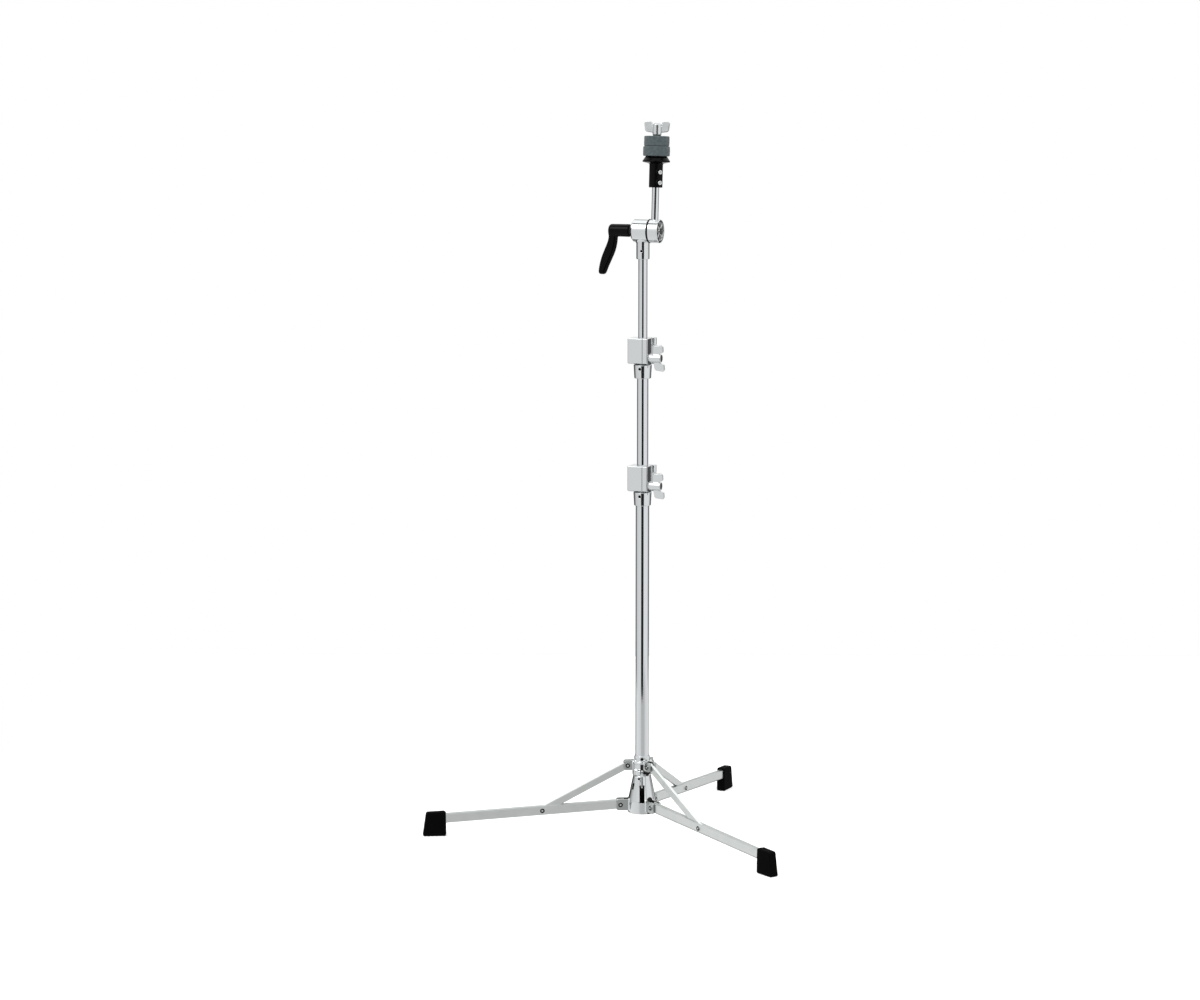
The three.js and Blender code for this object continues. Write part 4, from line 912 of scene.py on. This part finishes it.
def jaw_casting(inner, x, y, z):
    """The fixed jaw: its half of the lock, with a lug of the hinge at the top and bottom of its back."""
    split = x - LOCK_SPLIT + LOCK_GAP
    body = lock_half(meet(-17.1 - x, span(y, -16, 10.8), 1.8), split, y, z)
    arm = np.hypot(x - np.clip(x, 0, HINGE_X), y - HINGE_Y) - HINGE_RADIUS
    for low in (0, 26.6):
        body = join(body, meet(arm, span(z, low, low + 10.4), 0.8), 1.2)
    body = np.maximum(np.maximum(body, np.minimum(split, 7.6 - y)), span(z, 0, LOCK_HEIGHT))
    body = carve(body, np.hypot(x, y) - inner - LOCK_FIT, 0.6)
    return np.maximum(body, -np.maximum(np.hypot(y - BOLT_FRONT, z - BOLT_RISE) - 2.6, -6.4 - x))


def gate_casting(inner, x, y, z):
    """The hinged jaw: a thick plate with a wide hole for the bolt, and the hinge's middle barrel."""
    plan = meet(x - 12.4, span(y, -16, 7.0), 1.3)
    body = lock_half(plan, LOCK_SPLIT + LOCK_GAP - x, y, z)
    middle = span(z, 10.7, 26.3)
    barrel = meet(np.hypot(x - HINGE_X, y - HINGE_Y) - HINGE_RADIUS, middle, 0.7)
    neck = meet(meet(span(x, 8.1, 12.4), span(y, 3, HINGE_Y), 0.4), middle, 0.7)
    body = join(body, join(barrel, neck, 1.2), 1.0)
    body = carve(body, np.hypot(x, y) - inner - LOCK_FIT, 0.5)
    return carve(body, np.hypot(y - BOLT_FRONT, z - BOLT_RISE) - 3.3, 0.5)


def wing_nut(hub, neck, length, reach, bore, deep):
    """A turned hub with a waisted foot, two broad wings run into it with fillets, and a bore. The wings are
    rounded squares in the XZ plane."""
    tip = length + 3.6
    low = tip - 15.2
    wing = [
        (1, low - 0.3), (hub + 1, low - 0.3, 3.0), (reach - 1.8, low + 0.7, 3.6), (reach, tip, 3.2),
        (reach - 10.8, tip, 2.4), (hub + 0.4, length - 3.2, 1.5), (1, length - 4.2),
    ]
    barrel = [(-5, 0), (neck, 0, 0.5), (hub, hub - neck + 1.4, 1.2), (hub, length, 1.3), (-5, length)]

    def field(x, y, z):
        """The hub joined with its wings, less the bore."""
        r = np.hypot(x, y)
        body = rounded_outline(r, z, barrel)
        petal = rounded_outline(np.abs(x), z, wing, 5)
        body = join(body, meet(petal, np.abs(y) - 1.45, 0.9), 0.8)
        return carve(body, np.maximum(r - bore, z - deep), 0.4)
    return skin(field, (-reach - 0.5, -hub - 0.5, -0.3), (reach + 0.5, hub + 0.5, tip + 0.5), 0.32)


lock_nut = wing_nut(5.9, 4.4, 19, 19.5, 3.3, 15.4)
pin_top = LOCK_HEIGHT - 0.3
hinge_pin = turned([(0.02, 0.3), (1.7, 0.3, 0.5), (1.7, pin_top, 0.5), (0.02, pin_top)], 48)
bolt = threaded(2.5, 1.25, 0.5, -6, 24.8, 5)
for where, (foot, tube, inner) in RECEIVERS.items():
    base, lock = within(POLE, (0, 0, foot), EAST, UP), LOCKS[where]
    receiver = skin(partial(receiver_casting, tube), (-13, -13, 0), (13, 13, 19.3), 0.35)
    jaw = skin(partial(jaw_casting, inner), (-17.5, -16.5, -0.5), (17, 16, 37.5), 0.4)
    gate = skin(partial(gate_casting, inner), (4.5, -16.5, -0.5), (17, 16, 37.5), 0.35)
    for node, shape, place, slot in (
        ("receiver", receiver, base, "chrome"),
        ("guide_bush", bush_shape(tube, inner), base, "nylon"),
        ("lock_jaw", jaw, lock, "chrome"),
        ("lock_gate", gate, lock, "chrome"),
        ("lock_hinge_pin", hinge_pin, within(lock, (HINGE_X, HINGE_Y, 0), EAST, UP), "plain_steel"),
        ("lock_bolt", bolt, within(lock, (0, BOLT_FRONT, BOLT_RISE), UP, EAST), "plain_steel"),
        ("lock_wing_nut", lock_nut, within(lock, LOCK_NUT_FOOT, LOCK_NUT_WING, EAST), "chrome"),
    ):
        make(f"{node}_{where}", shape, place, slot)


def neck_casting(x, y, z):
    """A chamfered barrel along X with the upright socket run into it."""
    body = rounded_outline(x, np.hypot(y, z), [
        (-14.2, -5), (-14.2, 13.2, 0.7), (-11.6, 15.8, 0.9), (9.0, 15.8, 0.2), (9.6, 15.1), (9.6, -5),
    ])
    upright = np.hypot(x, y)
    body = join(body, meet(upright - 9.2, span(z, -39, 0), 1.1), 2.0)
    body = carve(body, np.maximum(upright - 6.4, z + 21.7), 0.5)
    return drilled(body, x, y, z, NECK_SCREW, 5, 0.4)


CAP_FACE, CAP_SUNK = 25.5, 1.2


def in_cap_pocket(x, y, z):
    """The floors of the end cap's pockets, and its rim."""
    return ((z > CAP_FACE - 1.5 * CAP_SUNK) & (z < CAP_FACE - 0.6 * CAP_SUNK)) | (np.hypot(x, y) > 13)


def cap_shape():
    """The end cap as a polar sheet: its height is the face less the pockets, which are the product of a
    smooth step across each spoke, one at the rim and one at the hub."""
    radii = np.array([14.6, 14.6, 14.4, *np.linspace(14.2, 0.3, 60), 0.02])
    spokes, half_width = 8, 0.75
    from_middle = np.abs((angles(240) / (2 * np.pi) * spokes) % 1 - 0.5) * 2 * np.pi / spokes
    to_spoke = radii[:, None] * np.sin(np.pi / spokes) - radii[:, None] * np.sin(from_middle)[None]
    ends = smooth_step(12.8 - radii, 0.5) * smooth_step(radii - 4.6, 0.6)
    height = CAP_FACE - CAP_SUNK * smooth_step(to_spoke - half_width, 0.6) * ends[:, None]
    height[:3] = np.array([[23.7], [CAP_FACE - 0.2], [CAP_FACE - 0.02]])
    return lofted(rings_at(radii[:, None], height))


def insert_shape():
    """The threaded insert under the lever: a flange, then teeth for the ratchet, radius = 6.1 less 0.45 times
    a flat-topped wave of 20 teeth."""
    sides = 240
    teeth = 0.45 * np.clip(1.6 * np.cos(20 * angles(sides)) + 0.5, 0, 1)
    profile = filleted([(7.6, -18.7, 0.4), (7.6, -14.3, 0.4), (0.02, -14.3)])
    levels = [(5.0, -36.0, 0), (5.9, -36.0, 1), (6.1, -35.6, 1), (6.1, -18.75, 1), (6.1, -18.7, 1)]
    toothed = [rings_at(r - t * teeth, h) for r, h, t in levels]
    return lofted(np.concatenate([toothed, turned_rings(profile, sides)]))


def lever_moulding(x, y, z):
    """A barrel with rounded ends, and an arm that curves down and out from it, oval in section."""
    r = np.hypot(y, z)
    barrel = rounded_outline(x, r, [(-49.6, -5), (-49.6, 8.6, 4.4), (-19, 8.9, 1.2), (-19, -5)])
    arm = smooth_loop([
        (-48.4, 1.5), (-49.6, -6), (-51.2, -15), (-56.4, -27.5), (-60.6, -38), (-63.6, -49), (-64.8, -57.6),
        (-63.4, -60.8), (-60.4, -61.5), (-56.6, -61.3), (-54.2, -58.8), (-51.4, -52), (-46.8, -42),
        (-41.3, -29.5), (-38.4, -18), (-37.6, -8), (-38.4, 1.5),
    ], 5)
    body = join(barrel, meet(outline_distance(x, z, arm), np.abs(y) - 5.25, 4.2), 2.6)
    body = carve(body, np.maximum(r - 6.35, -36.3 - x), 0.5)
    body = np.maximum(body, 2.15 - r)
    return carve(body, np.maximum(r - 4.15, x + 38.3), 0.5)


def spring_shape():
    """A coil: a wire 0.6 mm thick carried along a helix of 4 turns about Z."""
    t = np.linspace(0, 1, 160)
    turn, a = 2 * np.pi * 4 * t, angles(12)
    out = np.stack([np.cos(turn), np.sin(turn), 0 * t], 1)
    centre = 3.0 * out + (42.3 + 4.1 * t)[:, None] * UP
    ring = np.cos(a)[None, :, None] * out[:, None] + np.sin(a)[None, :, None] * UP
    return lofted(centre[:, None] + 0.3 * ring)


OUTWARD = within(HEAD, (0, 0, 0), UP, -EAST)
make("tilter_neck", skin(neck_casting, (-14.7, -16.5, -39.5), (10, 16.5, 16.5), 0.4), HEAD, "chrome")
# The turning half: a disc with a groove round its edge and a rim about the end cap
drum = turned([(0.02, 11.2), (15.6, 11.2), (16.3, 11.8, 0.2), (16.3, 25.0, 0.5), (15.5, 25.8, 0.4),
               (14.7, 25.8, 0.2), (14.7, 23.6), (0.02, 23.6)], 128)
make("tilter_drum", drum, HEAD_AXIS, "chrome")
gasket = turned([(4.2, 9.67), (15.05, 9.67), (15.95, 8.97, 0.2), (16.6, 9.7, 0.5), (16.6, 11.3, 0.5),
                 (16.3, 11.87, 0.2), (15.5, 11.15), (4.2, 11.15)], 128, wrap=True, steps=3)
make("tilter_gasket", gasket, HEAD_AXIS, "gasket_rubber")
make("tilter_cap", cap_shape(), HEAD_AXIS, "dark_screw", "chrome", [("cap_grey", in_cap_pocket)])
make("lever_insert", insert_shape(), HEAD_AXIS, "dark_screw")
lever = skin(lever_moulding, (-65.5, -9.4, -62.3), (-18.5, 9.4, 9.4), 0.4)
make("lever_handle", lever, HEAD, "black_plastic")
# A cheese-head screw along the tilter's axis, its head at the outer end
profile = filleted([(1.9, 28.6), (1.9, 47.1), (3.9, 47.1, 0.15), (3.9, 49.3, 0.5), (2.5, 49.3)])
make("lever_screw", screw_rings(profile, 49.3, 3.4, 1.5), OUTWARD, "dark_screw")
make("lever_spring", spring_shape(), OUTWARD, "plain_steel")


def seat_moulding(x, y, z):
    """A sleeve that flares to a rimmed table, the cymbal's neck above it, and two screw bosses run in."""
    r = np.hypot(x, y)
    body = rounded_outline(r, z, [
        (-5, 60), (9.4, 60, 0.8), (9.4, 92.7, 2.2), (19, 95.0, 0.7), (19, 96.7, 0.7), (14.8, 103, 1.0),
        (6, 103, 0.4), (6, 127, 0.7), (-5, 127),
    ])
    u, v = about_pole(x, y, SEAT_SCREW_TURN)
    holes = [np.hypot(v, z - rise) for rise in SEAT_SCREW_RISES.values()]
    for hole in holes:
        body = join(body, meet(hole - 3.7, span(u, 3, 11.8), 0.6), 1.2)
    for hole in holes:
        body = np.maximum(body, -np.maximum(hole - SEAT_SCREW_RADIUS - SCREW_FIT, 2 - u))
    return carve(body, np.where(z < 64.3, r - 4.95, r - 4.05), 0.3)


def felt_shape(radius, foot, height, seed):
    """A pressed disc with soft edges: its side is moved in by 0.05 mm at mid height and 0.25 mm at the edges,
    its flats out by 0.08 mm, and all of it in and out by two sizes of lumps, which the flats have less of."""
    top = foot + height
    profile = filleted([(6.3, foot, 0.6), (radius, foot, 1.6), (radius, top, 1.6), (6.3, top, 0.8)], True, 8)
    steps = [np.linspace(a, b, max(2, int(np.linalg.norm(b - a) / 0.7)), endpoint=False)
             for a, b in zip(profile, np.roll(profile, -1, 0))]
    profile = np.concatenate(steps)
    shape = lofted(turned_rings(profile, 180), wrap=True)
    rough = 0.16 * lumps(shape.points + 50, 2.6, seed) + 0.07 * lumps(shape.points + 50, 0.9, seed + 1)
    middle = 1 - np.abs(shape.points[:, 2] - foot - height / 2) / (height / 2)
    level = np.clip(np.abs(shape.normals[:, 2]), 0, 1)
    rough = rough * (1 - 0.9 * level) + (0.2 * np.clip(middle, 0, 1) - 0.25) * (1 - level) + 0.08 * level
    points = shape.points + shape.normals * rough[:, None]
    return Shape(points, shape.quads, [], shape.uv, lean_to_faces(points, shape.quads, []))


def rod_shape():
    """The plain shank, a shoulder and the threaded end as one run of rings."""
    sides = 64
    rings = threaded(4.0, 1.25, 0.55, 63.5, 148.6, 120).points.reshape(-1, sides, 3)
    shank = turned_rings(filleted([(4.5, 8.9), (4.9, 9.3), (4.9, 64, 0.3), (4.0, 64.2)]), sides)
    return lofted(np.concatenate([shank, rings[2:]]))


make("tilter_rod", rod_shape(), ROD, "chrome", "tube")
seat = skin(seat_moulding, (-19.5, -19.5, 59.5), (19.5, 19.5, 127.5), 0.42)
make("cymbal_seat", seat, ROD, "black_plastic")
for node, shape in (
    ("felt_lower", felt_shape(18.6, 103.3, 13.2, 11)),
    ("felt_upper", felt_shape(17.6, 116.8, 13.8, 23)),
):
    make(node, shape, ROD, "felt")
make("top_wing_nut", wing_nut(6.1, 5.4, 16.5, 18.3, 4.1, 30), TOP_NUT, "chrome")

# The tilter's bolt, which no piece above stands for, keeps its own solid
own_solid = frame["nodes"]["tilter_bolt"].data
own_solid.materials.clear()
own_solid.materials.append(FINISHES["plain_steel"])


# The studio
CAMERA_SIDE, CAMERA_AHEAD = unit((-0.08935, -0.9960, 0.0)), unit((0.07712, 0.99702, 0.0))
CAMERA_DISTANCE, CAMERA_HEIGHT, CAMERA_LENS, CAMERA_PITCH = 4.8398, 1.1953, 105.0, 0.1477
FLOOR_HALF_WIDTH, FLOOR_AHEAD, FLOOR_BEHIND = 1.0, 0.94, -1.3
pole = 0.001 * POLE.origin


def look(name, data, position, direction):
    """Puts a camera or lamp at a position, facing along a direction."""
    thing = added(name, data)
    thing.location = position
    thing.rotation_euler = Vector(direction).to_track_quat("-Z", "Y").to_euler()
    return thing


camera_data = bpy.data.cameras.new("camera")
camera_data.lens = CAMERA_LENS
camera_data.sensor_width, camera_data.clip_end = 36.0, 60.0
camera_place = pole + CAMERA_DISTANCE * CAMERA_SIDE + CAMERA_HEIGHT * UP
view_line = np.cos(CAMERA_PITCH) * CAMERA_AHEAD - np.sin(CAMERA_PITCH) * UP
bpy.context.scene.camera = look("camera", camera_data, camera_place, view_line)


def tone(tree, value, stops):
    """Grey levels over a value from 0 to 1, with straight runs between the stops."""
    ramp = add_node(tree, "ValToRGB", {"Fac": value})
    while len(ramp.color_ramp.elements) < len(stops):
        ramp.color_ramp.elements.new(0.5)
    for element, (position, level) in zip(ramp.color_ramp.elements, stops):
        element.position = position
        element.color = (level, level, level, 1.0)
    return ramp.outputs["Color"]


def blended(tree, share, first, second):
    """The first number where the share is 0, the second where it is 1."""
    inputs = {"Factor": share, "A": first, "B": second}
    return add_node(tree, "Mix", inputs, data_type="FLOAT").outputs["Result"]


# Grey levels of the studio, each over a share that runs from behind the stand (0) round to the camera (1)
WALLS = [(0.0, 1.0), (0.014, 0.95), (0.03, 0.09), (0.2, 0.09), (0.27, 0.42), (0.37, 0.6), (0.46, 0.95),
         (0.962, 1.0), (0.975, 0.02), (1.0, 0.02)]
GROUND = [(0.0, 0.7), (0.02, 0.6), (0.045, 0.05), (0.19, 0.05), (0.25, 0.8), (0.36, 1.0), (0.94, 0.88),
          (0.985, 0.66), (1.0, 0.62)]
CEILING = [(0.0, 1.0), (0.03, 1.0), (0.038, 0.06), (0.1, 0.06), (0.115, 1.4), (0.475, 1.4), (0.485, 0.04),
           (0.558, 0.04), (0.568, 1.4), (0.85, 1.4), (1.0, 1.1)]
# How much wider the dark slit behind the camera is, over the ray's height: only the leaning rod mirrors this
WIDENING = [(0.02, 1.0), (0.045, 1.05), (0.072, 1.05), (0.079, 1.0)]


def studio_world():
    """A white studio seen in the metal: bright walls to both sides, the left a little dimmer, a dark slit
    where the camera stands, and dark flags beside the backdrop, which is white behind. A little above the
    ground the slit is wider, and higher up it ends and the flags draw back. The ground, which is seen through
    the floor, is greyer, and the ceiling is light, with a dark gap across it and a dark edge over the
    backdrop. The camera itself sees white."""
    bpy.context.scene.world = bpy.data.worlds.new("studio")
    tree = cleared(bpy.context.scene.world)

    def along(vector, direction):
        """The vector's length along a direction."""
        inputs = {0: vector, 1: tuple(direction)}
        return add_node(tree, "VectorMath", inputs, operation="DOT_PRODUCT").outputs["Value"]

    ray = add_node(tree, "TexCoord").outputs["Generated"]
    level = add_node(tree, "VectorMath", {0: ray, 1: (1.0, 1.0, 0.0)}, operation="MULTIPLY")
    level = add_node(tree, "VectorMath", {0: level.outputs[0]}, operation="NORMALIZE").outputs[0]
    height = add_node(tree, "SeparateXYZ", {0: ray}).outputs["Z"]
    beside = along(level, np.cross(-CAMERA_SIDE, UP))
    share = ranged(tree, along(level, CAMERA_SIDE), -1, 1)
    widened = combined(tree, "MULTIPLY", share, tone(tree, height, WIDENING))
    drawn = combined(tree, "SUBTRACT", widened, ranged(tree, height, 0.1, 0.2, 0, 0.25))
    sides = ranged(tree, beside, -1, 1, 0.86, 1.04)
    walls = combined(tree, "MULTIPLY", tone(tree, drawn, WALLS), sides)
    turned_right = combined(tree, "ADD", share, ranged(tree, beside, 0, 1, 0, 0.16))
    ground = tone(tree, turned_right, GROUND)
    path = add_node(tree, "LightPath").outputs
    low = blended(tree, ranged(tree, path["Transparent Depth"], 0, 1), walls, ground)
    ceiling = tone(tree, ranged(tree, along(ray, CAMERA_SIDE), -1, 1), CEILING)
    mirrored = blended(tree, ranged(tree, height, 0.12, 0.55), low, ceiling)
    seen = blended(tree, path["Is Camera Ray"], mirrored, 1.0)
    shine = add_node(tree, "Background", {"Color": WHITE, "Strength": seen})
    add_node(tree, "OutputWorld", {"Surface": shine.outputs["Background"]})


def studio_floor():
    """A white paper floor: it takes the stand's shadow, and glows a little to the camera so that where
    nothing shades it, it is as white as the backdrop. Mirrors look through it at the world's grey ground."""
    across = np.cross(CAMERA_SIDE, UP)
    half, near, far = FLOOR_HALF_WIDTH, FLOOR_AHEAD, FLOOR_BEHIND
    reach = ((-half, near), (half, near), (half, far), (-half, far))
    corners = [tuple(pole + a * across + b * CAMERA_SIDE) for a, b in reach]
    mesh = bpy.data.meshes.new("floor")
    mesh.from_pydata(corners, [], [(0, 1, 2, 3)])
    mesh.update()
    if mesh.polygons[0].normal.z < 0:
        mesh.flip_normals()
    paper = bpy.data.materials.new("white_paper")
    tree = cleared(paper)
    path = add_node(tree, "LightPath").outputs
    matt = add_node(tree, "BsdfDiffuse", {"Color": colour(0xF2F2F2), "Roughness": 0.5})
    glow = add_node(tree, "Emission", {"Color": WHITE, "Strength": 0.3})
    both = add_node(tree, "AddShader", {0: matt.outputs[0], 1: glow.outputs[0]})
    shown = matt
    for ray, other in (("Is Camera Ray", both), ("Is Glossy Ray", add_node(tree, "BsdfTransparent"))):
        shown = add_node(tree, "MixShader", {"Fac": path[ray], 1: shown.outputs[0], 2: other.outputs[0]})
    add_node(tree, "OutputMaterial", {"Surface": shown.outputs[0]})
    mesh.materials.append(paper)
    floor = added("floor", mesh)


studio_world()
studio_floor()
key_data = bpy.data.lights.new("key_softbox", "AREA")
key_data.shape = "SQUARE"
key_data.size = 1.8
key_data.energy = 30.0
key_place = pole + np.array([-2.05, -1.55, 3.35])
look("key_softbox", key_data, key_place, pole + 0.4 * UP - key_place)

bpy.context.scene.view_settings.view_transform = "Standard"

bpy.context.view_layer.update()
